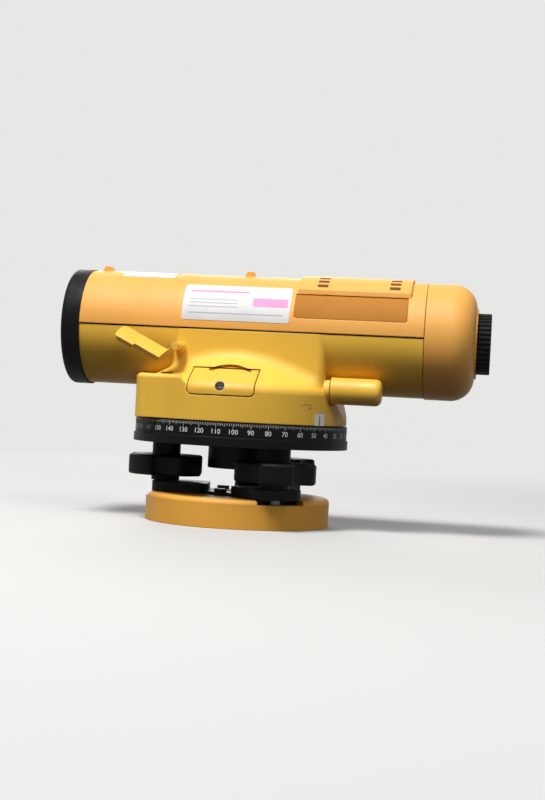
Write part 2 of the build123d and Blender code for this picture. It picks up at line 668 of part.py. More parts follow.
def spindle_nut():
    """Nut that keeps the spindle in its bush from below."""
    top = BUSH_BOTTOM - LOOSE_CLEARANCE
    bore = SPINDLE_RADIUS + PRESS_CLEARANCE
    return washer(SPINDLE_NUT_RADIUS, bore, top - SPINDLE_NUT_HEIGHT, top)


def spindle_screws():
    """Screws that fix the spindle's flange under the housing's floor."""
    shank = SPINDLE_SCREW_RADIUS - PRESS_CLEARANCE
    points = circle_points(SPINDLE_SCREW_COUNT, SPINDLE_SCREW_CIRCLE)
    return [disc(shank, FLANGE_BOTTOM, WEB_TOP, x, y) for x, y in points]


# Slow-motion drive

def worm_wheel():
    """Toothed ring that the clutch holds on the pillar."""
    root = WHEEL_RADIUS - WHEEL_MODULE
    points = gear_outline(WHEEL_TEETH, root, WHEEL_RADIUS, WHEEL_ROOT_SHARE, WHEEL_TIP_SHARE)
    wheel = Pos(0, 0, WHEEL_BOTTOM) * extrude(make_face(Polyline(*points, close=True)), WHEEL_THICKNESS)
    return wheel - disc(PILLAR_RADIUS + RUNNING_CLEARANCE, WHEEL_BOTTOM - OVERCUT, WHEEL_TOP + OVERCUT)


def clutch_spring():
    """Spring washer under the worm wheel."""
    bore = PILLAR_RADIUS + RUNNING_CLEARANCE
    top = CLUTCH_BOTTOM + CLUTCH_SPRING_THICKNESS
    return washer(PILLAR_SHOULDER_RADIUS, bore, CLUTCH_BOTTOM, top)


def clutch_circlip():
    """Ring that keeps the worm wheel down on its spring washer."""
    bore = PILLAR_RADIUS + PRESS_CLEARANCE
    return washer(PILLAR_RADIUS + CIRCLIP_WIDTH, bore, CIRCLIP_BOTTOM, PILLAR_TOP)


def worm_post_start():
    """Distance of the worm's bearing posts from the middle of the worm."""
    return WORM_LENGTH / 2 + WORM_POST_GAP


def worm_shaft():
    """Worm on its shaft, from the far post to the tangent knob."""
    far_end = -worm_post_start() - WORM_POST_THICKNESS
    shaft = bar(WORM_SHAFT_RADIUS, far_end, tangent_knob_end() - TANGENT_KNOB_ROUND, WORM_Y, DRIVE_Z)
    pitch = math.pi * WHEEL_MODULE
    ridges = int(WORM_LENGTH / pitch)
    worm = bar(WORM_RADIUS, -WORM_LENGTH / 2, WORM_LENGTH / 2, WORM_Y, DRIVE_Z)
    for ridge in range(ridges):
        start = (ridge - (ridges - 1) / 2) * pitch - WORM_GROOVE / 2
        root = WORM_RADIUS - WHEEL_MODULE
        worm -= sleeve(WORM_RADIUS + OVERCUT, root, start, start + WORM_GROOVE, WORM_Y, DRIVE_Z)
    return shaft + worm


def worm_bracket():
    """Bracket on the bottom plate with the worm's two bearing posts."""
    post = worm_post_start()
    reach = post + WORM_POST_THICKNESS
    half = WORM_POST_WIDTH / 2
    top = DRIVE_Z + half
    foot_top = BOTTOM_PLATE_TOP + HOUSING_WALL
    bracket = block(-reach, reach, WORM_Y - half, WORM_Y + half, BOTTOM_PLATE_TOP, foot_top)
    for start in (-reach, post):
        end = start + WORM_POST_THICKNESS
        bracket += block(start, end, WORM_Y - half, WORM_Y + half, BOTTOM_PLATE_TOP, top)
    bore = WORM_SHAFT_RADIUS + RUNNING_CLEARANCE
    return bracket - bar(bore, -reach - OVERCUT, reach + OVERCUT, WORM_Y, DRIVE_Z)


def rear_wall_x(height):
    """Place of the housing's flared rear wall at a height."""
    flare_low = SKIRT_BOTTOM + REAR_FLARE_LOW
    share = min(max((WEB_BOTTOM - height) / (WEB_BOTTOM - flare_low), 0.0), 1.0)
    return NECK_REAR + share * (SKIRT_RADIUS - NECK_REAR)


def tangent_knob_start():
    """Place of the tangent knob's inner face, close to the flared wall at the height of its shaft."""
    return rear_wall_x(DRIVE_Z) + TANGENT_KNOB_GAP


def tangent_knob_end():
    """Place of the tangent knob's outer face."""
    return tangent_knob_start() + TANGENT_KNOB_LENGTH


def tangent_knob():
    """Smooth round-ended knob of the slow-motion drive."""
    start = tangent_knob_start()
    end = tangent_knob_end()
    knob = bar(TANGENT_KNOB_RADIUS, start, end, WORM_Y, DRIVE_Z)
    rim = knob.edges().filter_by(GeomType.CIRCLE).sort_by(Axis.X)[-1:]
    knob = round_edges(knob, rim, TANGENT_KNOB_ROUND)
    bore_end = end - TANGENT_KNOB_ROUND
    return knob - bar(WORM_SHAFT_RADIUS + PRESS_CLEARANCE, start - OVERCUT, bore_end, WORM_Y, DRIVE_Z)


# Horizontal circle

def horizontal_circle():
    """Graduated ring that turns by hand on the rim of the levelling head."""
    bore = HEAD_RADIUS + RUNNING_CLEARANCE
    lip_bottom = HEAD_TOP + CIRCLE_LIP_GAP
    ring = disc(CIRCLE_RADIUS, CIRCLE_BOTTOM, CIRCLE_TOP)
    ring += disc(CIRCLE_FLANGE_RADIUS, CIRCLE_BOTTOM, CIRCLE_BOTTOM + CIRCLE_FLANGE_HEIGHT)
    ring -= disc(bore, CIRCLE_BOTTOM - OVERCUT, lip_bottom)
    return ring - disc(HEAD_RADIUS - CIRCLE_LIP_WIDTH, CIRCLE_BOTTOM, CIRCLE_TOP + OVERCUT)


# Lower housing

def shoulder(radius, base, top_radius):
    """Conical shoulder from one radius up to a smaller one."""
    return Pos(0, 0, base) * Cone(radius, top_radius, (radius - top_radius) * SHOULDER_SLOPE, align=UPRIGHT)


def rear_side(inset):
    """Everything behind the flared rear wall, less a wall thickness."""
    low = SKIRT_BOTTOM + REAR_FLARE_LOW
    far = 2 * SKIRT_RADIUS
    points = [
        (NECK_REAR - inset, 2 * AXIS_Z),
        (NECK_REAR - inset, WEB_BOTTOM),
        (SKIRT_RADIUS - inset, low),
        (far, low),
        (far, 2 * AXIS_Z),
    ]
    return plate_xz(points, -far, far)


def boss_outline():
    """Plan of the bubble's boss: a rounded corner block joined to the round of the skirt."""
    front = BUBBLE_X - BOSS_HALF_LENGTH
    low = BUBBLE_Y - BOSS_HALF_WIDTH
    far = -2 * SKIRT_RADIUS
    corner = rectangle(front, BOSS_REAR, low, BOSS_INNER)
    corner = fillet(corner.vertices().sort_by(Axis.Y)[:2].sort_by(Axis.X)[:1], BOSS_ROUND)
    plan = corner + (Circle(SKIRT_RADIUS) & rectangle(far, BOSS_REAR, far, BOSS_INNER))
    inside = [place for place in plan.vertices() if is_boss_inner_corner(place, front, low)]
    return fillet(inside, BOSS_FOOT_ROUND)


def is_boss_inner_corner(place, front, low):
    """Whether a corner of the boss's plan is one where the block meets the round of the skirt."""
    on_round = abs(math.hypot(place.X, place.Y) - SKIRT_RADIUS) < RUNNING_CLEARANCE
    on_front = abs(place.X - front) < RUNNING_CLEARANCE
    on_side = abs(place.Y - low) < RUNNING_CLEARANCE
    return on_round and (on_front or on_side)


def bubble_boss():
    """Flat-topped boss of the circular bubble, filling the shoulder out to the skirt."""
    boss = Pos(0, 0, SKIRT_BOTTOM) * extrude(boss_outline(), BOSS_TOP - SKIRT_BOTTOM)
    rim = [edge for edge in boss.edges().group_by(Axis.Z)[-1] if is_boss_outer_edge(edge)]
    boss = round_edges(boss, rim, BOSS_EDGE_ROUND)
    far = -2 * SKIRT_RADIUS
    ramp = [
        (far, SKIRT_BOTTOM),
        (BOSS_REAR, SKIRT_BOTTOM),
        (BOSS_REAR, SKIRT_TOP),
        (BOSS_REAR - BOSS_HEIGHT, BOSS_TOP),
        (far, BOSS_TOP),
    ]
    return boss & plate_xz(ramp, far, 0)


def is_boss_outer_edge(edge):
    """Whether a top edge of the boss lies on its outer side."""
    middle = edge.position_at(0.5)
    return middle.X < BOSS_REAR - RUNNING_CLEARANCE and middle.Y < BOSS_INNER - RUNNING_CLEARANCE


def shoulder_form(inset):
    """Skirt and shoulder before the neck joins them, drawn in by a wall thickness."""
    radius = SKIRT_RADIUS - inset
    lean = math.radians(SHOULDER_ANGLE)
    top = SKIRT_TOP - inset * (1 / math.cos(lean) - math.tan(lean))
    form = disc(radius, SKIRT_BOTTOM, top) + shoulder(radius, top, SHOULDER_TOP_RADIUS)
    rims = form.edges().filter_by(GeomType.CIRCLE).sort_by(Axis.Z)
    return round_edges(form, rims[1:2], max(SHOULDER_ROUND - inset, COVER_SEAM))


def cover_window(margin):
    """Block that frames the service cover, seen from the front, with a margin all round."""
    far = 2 * SKIRT_RADIUS
    low = SKIRT_TOP - COVER_DROP - margin
    high = SKIRT_TOP + COVER_RISE + margin
    window = block(COVER_LEFT - margin, COVER_RIGHT + margin, -far, 0, low, high)
    corners = window.edges().filter_by(Axis.Y).sort_by(Axis.Z)[:2]
    return round_edges(window, corners, COVER_CORNER_ROUND + margin)


def cover_recess():
    """Recess of the service cover in the skirt and shoulder."""
    return cover_window(COVER_SEAM) - shoulder_form(COVER_THICKNESS + COVER_SEAM)


def thumb_scoop():
    """Lens-shaped thumb recess across the top edge of the service cover."""
    far = -2 * SKIRT_RADIUS
    x = COVER_MIDDLE + COVER_SCOOP_OFFSET
    edge = SKIRT_TOP + COVER_RISE
    above = edge + COVER_SCOOP_RADIUS - COVER_SCOOP_DROP
    below = edge - COVER_SCOOP_RADIUS + COVER_SCOOP_RISE
    form = cross_bar(COVER_SCOOP_RADIUS, far, 0, x, above) & cross_bar(COVER_SCOOP_RADIUS, far, 0, x, below)
    return form - shoulder_form(COVER_SCOOP_DEPTH)


def housing_cavity():
    """Hollow of the base: the room of the vertical axis and its drive."""
    cone_base = SKIRT_TOP - HOUSING_WALL / 2
    top_radius = CAVITY_RADIUS - (WEB_BOTTOM - cone_base) / SHOULDER_SLOPE
    cavity = disc(CAVITY_RADIUS, SKIRT_BOTTOM - OVERCUT, cone_base)
    cavity += shoulder(CAVITY_RADIUS, cone_base, top_radius)
    cavity -= rear_side(HOUSING_WALL)
    clear = WHEEL_RADIUS + 2 * HOUSING_WALL
    cavity -= bar(TUBE_RADIUS, 2 * TUBE_FRONT, -clear)
    cavity -= bar(TUBE_RADIUS, clear + HOUSING_WALL, TUBE_REAR)
    backing = COVER_SEAM + COVER_BACKING
    cavity -= cover_window(backing) - shoulder_form(COVER_THICKNESS + backing)
    knob_wall = tangent_knob_start() - HOUSING_WALL
    cavity -= bar(TANGENT_KNOB_RADIUS + HOUSING_WALL, knob_wall, TUBE_REAR, WORM_Y, DRIVE_Z)
    pocket = BUBBLE_RADIUS + BUBBLE_WALL + HOUSING_WALL
    cavity -= disc(pocket, BOSS_TOP - BUBBLE_HEIGHT - HOUSING_WALL, AXIS_Z, BUBBLE_X, BUBBLE_Y)
    for x, y in bottom_screw_points():
        cavity -= disc(BOTTOM_BOSS_RADIUS, BOTTOM_PLATE_TOP, AXIS_Z, x, y)
    return cavity


def bottom_screw_points():
    """Places of the bottom plate's screws, inside the skirt."""
    circle = CAVITY_RADIUS - BOTTOM_BOSS_RADIUS
    return circle_points(BOTTOM_SCREW_COUNT, circle, 180.0 / BOTTOM_SCREW_COUNT)


def optical_hollow():
    """Hollow of the telescope: the tube's bore and the square room above the housing's floor."""
    bore = bar(BORE_RADIUS, TUBE_FRONT - OVERCUT, TUBE_REAR + OVERCUT)
    far = 2 * TUBE_RADIUS
    bore -= block(NECK_FRONT, NECK_REAR, -far, far, 0, WEB_TOP)
    half = NECK_HALF_WIDTH - HOUSING_WALL
    room = block(NECK_FRONT + HOUSING_WALL, NECK_REAR - HOUSING_WALL, -half, half, WEB_TOP, AXIS_Z + OVERCUT)
    return bore + room


def mirror_lug():
    """Round lug on the side of the neck that carries the mirror's pin."""
    outer = LOOSE_CLEARANCE - MIRROR_INNER
    return cross_bar(MIRROR_LUG_RADIUS, outer, OVERCUT - NECK_HALF_WIDTH, MIRROR_HINGE_X, MIRROR_HINGE_Z)


def index_pocket(depth_in, depth_out, margin):
    """Block at the index mark on the lower edge of the skirt."""
    half = INDEX_WIDTH / 2 + margin
    low = SKIRT_BOTTOM - margin
    high = SKIRT_BOTTOM + INDEX_HEIGHT + margin
    mark = block(SKIRT_RADIUS - depth_in, SKIRT_RADIUS + depth_out, -half, half, low, high)
    return Rot(0, 0, INDEX_ANGLE) * mark


def neck_and_shoulder():
    """Rounded skirt and shoulder with the neck blended into them."""
    body = shoulder_form(0.0)
    low = SKIRT_BOTTOM + HOUSING_WALL
    neck = block(NECK_FRONT, NECK_REAR, -NECK_HALF_WIDTH, NECK_HALF_WIDTH, low, AXIS_Z)
    body += round_edges(neck, neck.edges().filter_by(Axis.Z), NECK_ROUND)
    joins = body.edges().filter_by(GeomType.HYPERBOLA)
    sides = [edge for edge in joins if abs(edge.center().Y) > NECK_HALF_WIDTH - NECK_ROUND]
    return round_edges(body, sides, NECK_FOOT_ROUND)


def lower_housing():
    """Casting: skirt, shoulder, neck and the lower half of the telescope tube."""
    body = neck_and_shoulder()
    body -= rear_side(0.0)
    body += bubble_boss()
    far = 2 * TUBE_RADIUS
    lower_half = block(TUBE_FRONT, TUBE_REAR, -far, far, 0, AXIS_Z)
    body += bar(TUBE_RADIUS, TUBE_FRONT, TUBE_REAR) & lower_half
    knob_face = tangent_knob_start() - TANGENT_KNOB_GAP
    body -= bar(TANGENT_KNOB_RADIUS + TANGENT_KNOB_GAP, knob_face, TUBE_REAR, WORM_Y, DRIVE_Z)
    body += bar(TANGENT_BOSS_RADIUS, knob_face - HOUSING_WALL, knob_face, WORM_Y, DRIVE_Z)
    body -= housing_cavity()
    body -= optical_hollow()
    body -= cover_recess()
    body -= thumb_scoop()
    body += mirror_lug()
    pin_hole = MIRROR_PIN_RADIUS + PRESS_CLEARANCE
    body -= cross_bar(pin_hole, -2 * MIRROR_INNER, mirror_pin_end(), MIRROR_HINGE_X, MIRROR_HINGE_Z)
    pocket = BUBBLE_RADIUS + BUBBLE_WALL + LOOSE_CLEARANCE
    body -= disc(pocket, BOSS_TOP - BUBBLE_HEIGHT, BOSS_TOP + OVERCUT, BUBBLE_X, BUBBLE_Y)
    body -= bar(WORM_SHAFT_RADIUS + LOOSE_CLEARANCE, NECK_REAR - 4 * HOUSING_WALL, TUBE_REAR, WORM_Y, DRIVE_Z)
    bush = FOCUS_BUSH_RADIUS + PRESS_CLEARANCE
    body -= cross_bar(bush, FOCUS_BUSH_INNER - OVERCUT, FOCUS_KNOB_START, FOCUS_X, FOCUS_Z)
    body -= index_pocket(INDEX_DEPTH, OVERCUT, PRESS_CLEARANCE)
    for x, y in bottom_screw_points():
        body -= disc(BOTTOM_SCREW_RADIUS, BOTTOM_PLATE_TOP, BOTTOM_PLATE_TOP + BOTTOM_SCREW_LENGTH, x, y)
    for x, y in circle_points(SPINDLE_SCREW_COUNT, SPINDLE_SCREW_CIRCLE):
        body -= disc(SPINDLE_SCREW_RADIUS, WEB_BOTTOM - OVERCUT, WEB_TOP + OVERCUT, x, y)
    body -= cover_screw_hole()
    return body


def bottom_plate():
    """Plate that closes the housing from below, round the pillar."""
    plate = washer(
        CAVITY_RADIUS - LOOSE_CLEARANCE,
        PILLAR_SHOULDER_RADIUS + OVERCUT,
        BOTTOM_PLATE_LOW,
        BOTTOM_PLATE_TOP,
    )
    plate -= rear_side(HOUSING_WALL)
    for x, y in bottom_screw_points():
        plate -= disc(BOTTOM_SCREW_RADIUS, BOTTOM_PLATE_LOW - OVERCUT, BOTTOM_PLATE_TOP + OVERCUT, x, y)
    return plate


def bottom_screws():
    """Screws that hold the bottom plate to the housing's bosses."""
    shank = BOTTOM_SCREW_RADIUS - PRESS_CLEARANCE
    top = BOTTOM_PLATE_TOP + BOTTOM_SCREW_LENGTH
    return [disc(shank, BOTTOM_PLATE_LOW, top, x, y) for x, y in bottom_screw_points()]


def index_plate():
    """Small white plate with the index mark for the circle."""
    return index_pocket(INDEX_DEPTH, 0.0, 0.0)


def cover_screw_hole():
    """Hole of the service cover's screw in the housing and the cover."""
    return cross_bar(COVER_SCREW_RADIUS, -2 * SKIRT_RADIUS, COVER_SCREW_END, COVER_MIDDLE, COVER_SCREW_Z)


def service_cover():
    """Cover let into the front of the shoulder, with a thumb scoop in its top edge and a sunk screw."""
    cover = cover_window(0.0) & (shoulder_form(0.0) - shoulder_form(COVER_THICKNESS))
    cover -= thumb_scoop()
    head = COVER_SCREW_HEAD + PRESS_CLEARANCE
    cover -= cross_bar(head, -2 * SKIRT_RADIUS, COVER_SCREW_FLOOR, COVER_MIDDLE, COVER_SCREW_Z)
    return cover - cover_screw_hole()


def cover_screw():
    """Slotted screw of the service cover."""
    head = cross_bar(COVER_SCREW_HEAD, COVER_SCREW_FACE, COVER_SCREW_FLOOR, COVER_MIDDLE, COVER_SCREW_Z)
    half = SCREW_SLOT_WIDTH / 2
    reach = COVER_SCREW_HEAD + OVERCUT
    head -= block(
        COVER_MIDDLE - reach,
        COVER_MIDDLE + reach,
        COVER_SCREW_FACE - OVERCUT,
        COVER_SCREW_FACE + SCREW_SLOT_DEPTH,
        COVER_SCREW_Z - half,
        COVER_SCREW_Z + half,
    )
    shank = COVER_SCREW_RADIUS - PRESS_CLEARANCE
    start = COVER_SCREW_FLOOR - SCREW_SLOT_DEPTH
    return head + cross_bar(shank, start, COVER_SCREW_END, COVER_MIDDLE, COVER_SCREW_Z)


# Circular bubble and mirror

def bubble_low():
    """Height of the bubble holder's underside."""
    return BOSS_TOP - BUBBLE_HEIGHT


def bubble_holder():
    """Cup that holds the bubble vial."""
    cup = disc(BUBBLE_RADIUS + BUBBLE_WALL, bubble_low(), BOSS_TOP, BUBBLE_X, BUBBLE_Y)
    floor_top = bubble_low() + BUBBLE_FLOOR
    return cup - disc(BUBBLE_RADIUS + PRESS_CLEARANCE, floor_top, BOSS_TOP + OVERCUT, BUBBLE_X, BUBBLE_Y)


def bubble_vial():
    """Round glass vial with a domed top."""
    low = bubble_low() + BUBBLE_FLOOR
    vial = disc(BUBBLE_RADIUS, low, BOSS_TOP, BUBBLE_X, BUBBLE_Y)
    rim = vial.edges().filter_by(GeomType.CIRCLE).sort_by(Axis.Z)[-1:]
    return round_edges(vial, rim, BUBBLE_FLOOR / 2)


def on_flap(shape):
    """Places a shape drawn flat, with the far corner of its hinge end at the origin, on the open flap."""
    turn = Rot(0, MIRROR_SLOPE, 0) * Rot(MIRROR_ROLL, 0, 0)
    corner = Pos(MIRROR_HINGE_X - MIRROR_ARM_LENGTH, -MIRROR_INNER, MIRROR_HINGE_Z - MIRROR_ARM_DROP)
    return corner * turn * shape


def flap_plate():
    """Flap before it is opened: a flat lid, wider towards its free end, with a pocket for the glass."""
    plate = block(-MIRROR_LENGTH, 0, -MIRROR_WIDTH, 0, -MIRROR_THICKNESS, 0)
    corners = plate.edges().filter_by(Axis.Z).sort_by(Axis.X)[:2]
    plate = round_edges(plate, corners, MIRROR_CORNER_ROUND)
    rim = plate.faces().sort_by(Axis.Z)[-1].edges().sort_by(Axis.X)[:-1]
    plate = round_edges(plate, rim, MIRROR_EDGE_ROUND)
    step = -MIRROR_WIDTH + MIRROR_STEP
    plate -= block(-MIRROR_STEP_LENGTH, OVERCUT, step - 2 * MIRROR_STEP, step, -2 * MIRROR_THICKNESS, OVERCUT)
    return plate - flap_recess(MIRROR_GLASS_DEPTH + OVERCUT, PRESS_CLEARANCE, -MIRROR_THICKNESS - OVERCUT)


def flap_recess(thickness, margin, low):
    """Block of the mirror glass in the underside of the flap, with a margin round it."""
    edge = MIRROR_GLASS_MARGIN - margin
    near = -MIRROR_WIDTH + MIRROR_STEP + edge
    return block(edge - MIRROR_LENGTH, -edge, near, -edge, low, low + thickness)


def mirror_flap():
    """Lid of the bubble: the flap, the arm at its end and the knuckle that turns on the pin."""
    half = MIRROR_THICKNESS / 2
    width = MIRROR_WIDTH - MIRROR_STEP
    end = on_flap(Plane.YZ * Pos(-width / 2, -half) * Rectangle(width, MIRROR_THICKNESS))
    span = MIRROR_OUTER - MIRROR_INNER
    hinge = Pos(MIRROR_HINGE_X, -(MIRROR_INNER + MIRROR_OUTER) / 2, MIRROR_HINGE_Z)
    root = hinge * (Plane.YZ * Rectangle(span, MIRROR_ARM_THICKNESS))
    far = 2 * MIRROR_LENGTH
    arm = loft([end.faces()[0], root.faces()[0]], ruled=True)
    arm -= block(-far, far, -MIRROR_INNER, 0, 0, 2 * AXIS_Z)
    knuckle = cross_bar(MIRROR_KNUCKLE_RADIUS, -MIRROR_OUTER, -MIRROR_INNER, MIRROR_HINGE_X, MIRROR_HINGE_Z)
    flap = on_flap(flap_plate()) + arm + knuckle
    bore = MIRROR_PIN_RADIUS + RUNNING_CLEARANCE
    bore_end = MIRROR_PIN_COVER - MIRROR_OUTER - RUNNING_CLEARANCE
    return flap - cross_bar(bore, bore_end, 0, MIRROR_HINGE_X, MIRROR_HINGE_Z)


def mirror_glass():
    """Silvered glass let into the underside of the flap."""
    top = MIRROR_GLASS_DEPTH - MIRROR_THICKNESS
    return on_flap(flap_recess(MIRROR_GLASS_THICKNESS, 0.0, top - MIRROR_GLASS_THICKNESS))


def mirror_pin_end():
    """Place of the pin's inner end in the wall of the neck."""
    return HOUSING_WALL / 2 - NECK_HALF_WIDTH


def mirror_pin():
    """Steel hinge pin of the flap, fixed in the lug."""
    outer = MIRROR_PIN_COVER - MIRROR_OUTER
    return cross_bar(MIRROR_PIN_RADIUS, outer, mirror_pin_end(), MIRROR_HINGE_X, MIRROR_HINGE_Z)


# Telescope shell

def upper_cover():
    """Upper half of the telescope's shell, with its sights and raised pad."""
    low = AXIS_Z + SEAM_GAP
    far = 2 * TUBE_RADIUS
    upper_half = block(TUBE_FRONT, TUBE_REAR, -far, far, low, 2 * AXIS_Z)
    shell = bar(TOP_RADIUS, TUBE_FRONT, TUBE_REAR) & upper_half
    shell += raised_pad()
    panel_low = AXIS_Z + TOP_RADIUS * math.sin(math.radians(PANEL_LOW_ANGLE))
    panel_high = AXIS_Z + TOP_RADIUS * math.sin(math.radians(PANEL_HIGH_ANGLE))
    panel_front = PAD_FRONT - PANEL_INSET
    panel_rear = PAD_REAR - PANEL_INSET
    panel = sleeve(TOP_RADIUS + OVERCUT, TOP_RADIUS - PANEL_DEPTH, panel_front, panel_rear)
    shell -= panel & block(panel_front, panel_rear, -far, 0, panel_low, panel_high)
    crown = AXIS_Z + TOP_RADIUS
    for place in (FRONT_SIGHT, REAR_SIGHT):
        shell += sight(place, crown)
    return shell - bar(BORE_RADIUS, TUBE_FRONT - OVERCUT, TUBE_REAR + OVERCUT)


def raised_pad():
    """Raised pad along the crown, whose sides slope down onto the shell."""
    low = math.radians(PAD_ANGLE - PAD_SLOPE_ANGLE)
    high = math.radians(PAD_ANGLE)
    outer = TOP_RADIUS + PAD_HEIGHT
    foot = (TOP_RADIUS * math.cos(low), AXIS_Z + TOP_RADIUS * math.sin(low))
    edge = (outer * math.cos(high), AXIS_Z + outer * math.sin(high))
    crown = [(edge[0], 2 * AXIS_Z), (-edge[0], 2 * AXIS_Z)]
    points = [(-foot[0], foot[1]), foot, edge, *crown, (-edge[0], edge[1])]
    outline = Plane.YZ * make_face(Polyline(*points, close=True))
    room = Pos(PAD_FRONT, 0, 0) * extrude(outline, PAD_REAR - PAD_FRONT)
    return bar(outer, PAD_FRONT, PAD_REAR) & room


def sight(place, crown):
    """Gabled sight on the crown of the cover."""
    half = SIGHT_LENGTH / 2
    points = [
        (place - half, crown - OVERCUT),
        (place + half, crown - OVERCUT),
        (place + half / 2, crown + SIGHT_HEIGHT),
        (place - half / 2, crown + SIGHT_HEIGHT),
    ]
    return plate_xz(points, -SIGHT_WIDTH / 2, SIGHT_WIDTH / 2)


def rear_cap():
    """Round cap behind the tube, with a large rear rounding, the lock ring's seat and the barrel's hole."""
    cap = bar(TOP_RADIUS, CAP_START, CAP_END)
    rim = cap.edges().filter_by(GeomType.CIRCLE).sort_by(Axis.X)[-1:]
    cap = round_edges(cap, rim, CAP_ROUND)
    hollow = bar(TOP_RADIUS - CAP_WALL, CAP_START - OVERCUT, LOCK_RING_START - CAP_WALL)
    rim = hollow.edges().filter_by(GeomType.CIRCLE).sort_by(Axis.X)[-1:]
    cap -= round_edges(hollow, rim, CAP_ROUND - CAP_WALL / 2)
    cap -= bar(LOCK_RING_RADIUS + PRESS_CLEARANCE, LOCK_RING_START, CAP_END + OVERCUT)
    return cap - bar(BARREL_RADIUS + PRESS_CLEARANCE, CAP_START, CAP_END + OVERCUT)


def objective_hood():
    """Black ring round the objective."""
    front = TUBE_FRONT - HOOD_LENGTH
    hood = bar(HOOD_RADIUS, front, TUBE_FRONT)
    rim = hood.edges().filter_by(GeomType.CIRCLE).sort_by(Axis.X)[:1]
    hood = round_edges(hood, rim, HOOD_ROUND)
    return hood - bar(HOOD_BORE, front - OVERCUT, TUBE_FRONT + OVERCUT)


# Objective

def objective_cell():
    """Lens cell: a flange in the tube's mouth, a barrel and the lugs of the guide rods."""
    flange_end = TUBE_FRONT + CELL_FLANGE_LENGTH
    cell = bar(CELL_SEAT_RADIUS, TUBE_FRONT, flange_end) + bar(CELL_RADIUS, TUBE_FRONT, CELL_END)
    for side in (-1, 1):
        z = AXIS_Z + side * ROD_OFFSET
        cell += bar(EAR_RADIUS, CELL_END - EAR_LENGTH, CELL_END, 0, z)
    cell -= bar(CELL_BORE, TUBE_FRONT - OVERCUT, lens_seat())
    cell -= bar(LENS_RADIUS - LENS_LIP, TUBE_FRONT, CELL_END - EAR_LENGTH)
    cell -= bar(ROD_OFFSET - EAR_RADIUS, TUBE_FRONT, CELL_END + OVERCUT)
    for side in (-1, 1):
        z = AXIS_Z + side * ROD_OFFSET
        cell -= bar(ROD_RADIUS + PRESS_CLEARANCE, CELL_END - EAR_LENGTH / 2, CELL_END + OVERCUT, 0, z)
    return cell


def lens_seat():
    """Place of the step that the objective lenses rest against."""
    return TUBE_FRONT + RETAINER_THICKNESS + CROWN_THICKNESS + FLINT_THICKNESS


def crown_sag():
    """Bulge of the objective's inner surfaces."""
    return CROWN_CURVE - math.sqrt(CROWN_CURVE ** 2 - LENS_RADIUS ** 2)


def objective_crown():
    """Front lens of the objective."""
    front = TUBE_FRONT + RETAINER_THICKNESS
    return lens(LENS_RADIUS, front, front + CROWN_THICKNESS - crown_sag(), RUNNING_CLEARANCE, crown_sag())


def objective_flint():
    """Rear lens of the objective, hollow in front to fit the first."""
    front = TUBE_FRONT + RETAINER_THICKNESS + CROWN_THICKNESS - crown_sag() + RUNNING_CLEARANCE
    return lens(LENS_RADIUS, front, lens_seat(), -crown_sag(), -RUNNING_CLEARANCE)


def objective_retainer():
    """Threaded ring that keeps the objective lenses in."""
    outer = CELL_BORE - PRESS_CLEARANCE
    end = TUBE_FRONT + RETAINER_THICKNESS - RUNNING_CLEARANCE
    return sleeve(outer, outer - RETAINER_WIDTH, TUBE_FRONT, end)


# Focusing

def guide_rods():
    """Rods that the focusing carriage slides on, from the objective cell to the compensator frame."""
    start = CELL_END - EAR_LENGTH / 2
    return [
        bar(ROD_RADIUS, start, FRAME_FRONT, 0, AXIS_Z + side * ROD_OFFSET)
        for side in (-1, 1)
    ]


def rack_root():
    """Height of the rack's tooth roots."""
    return FOCUS_Z + PINION_RADIUS + TOOTH_DEDENDUM * FOCUS_MODULE


def rack_points():
    """Outline of the focusing rack in X and Z, with its teeth down on the pinion."""
    pitch_line = FOCUS_Z + PINION_RADIUS
    tip = pitch_line - TOOTH_ADDENDUM * FOCUS_MODULE
    root = rack_root()
    back = root + RACK_HEIGHT
    root_half = RACK_ROOT_SHARE * TOOTH_PITCH / 2
    tip_half = RACK_TIP_SHARE * TOOTH_PITCH / 2
    reach = int(RACK_REACH / TOOTH_PITCH)
    points = []
    for tooth in range(-reach, reach + 1):
        centre = FOCUS_X + (tooth + 0.5) * TOOTH_PITCH
        points += [
            (centre - root_half, root),
            (centre - tip_half, tip),
            (centre + tip_half, tip),
            (centre + root_half, root),
        ]
    end = FOCUS_X + (reach + 1) * TOOTH_PITCH
    return points + [(end, root), (end, back), (CARRIAGE_FRONT, back), (CARRIAGE_FRONT, root)]


def focus_carriage():
    """Sliding tube of the focusing lens, with ears on the guide rods and the rack beside it."""
    carriage = bar(CARRIAGE_RADIUS, CARRIAGE_FRONT, CARRIAGE_REAR)
    middle = (CARRIAGE_FRONT + CARRIAGE_REAR) / 2
    for side in (-1, 1):
        z = AXIS_Z + side * ROD_OFFSET
        carriage += bar(EAR_RADIUS, middle - EAR_LENGTH / 2, middle + EAR_LENGTH / 2, 0, z)
        inner = min(z, AXIS_Z + side * CARRIAGE_RADIUS / 2)
        outer = max(z, AXIS_Z + side * CARRIAGE_RADIUS / 2)
        half = EAR_RADIUS
        carriage += block(middle - EAR_LENGTH / 2, middle + EAR_LENGTH / 2, -half, half, inner, outer)
    rack = plate_xz(rack_points(), RACK_INNER, RACK_INNER + RACK_WIDTH)
    root = rack_root()
    arm = block(CARRIAGE_FRONT, CARRIAGE_REAR, 0, RACK_INNER + OVERCUT, root, root + RACK_HEIGHT)
    carriage += rack + arm
    carriage -= bar(CARRIAGE_RADIUS - CARRIAGE_WALL, CARRIAGE_FRONT - OVERCUT, CARRIAGE_REAR + OVERCUT)
    for side in (-1, 1):
        z = AXIS_Z + side * ROD_OFFSET
        carriage -= bar(ROD_RADIUS + RUNNING_CLEARANCE, CARRIAGE_FRONT, CARRIAGE_REAR, 0, z)
    return carriage


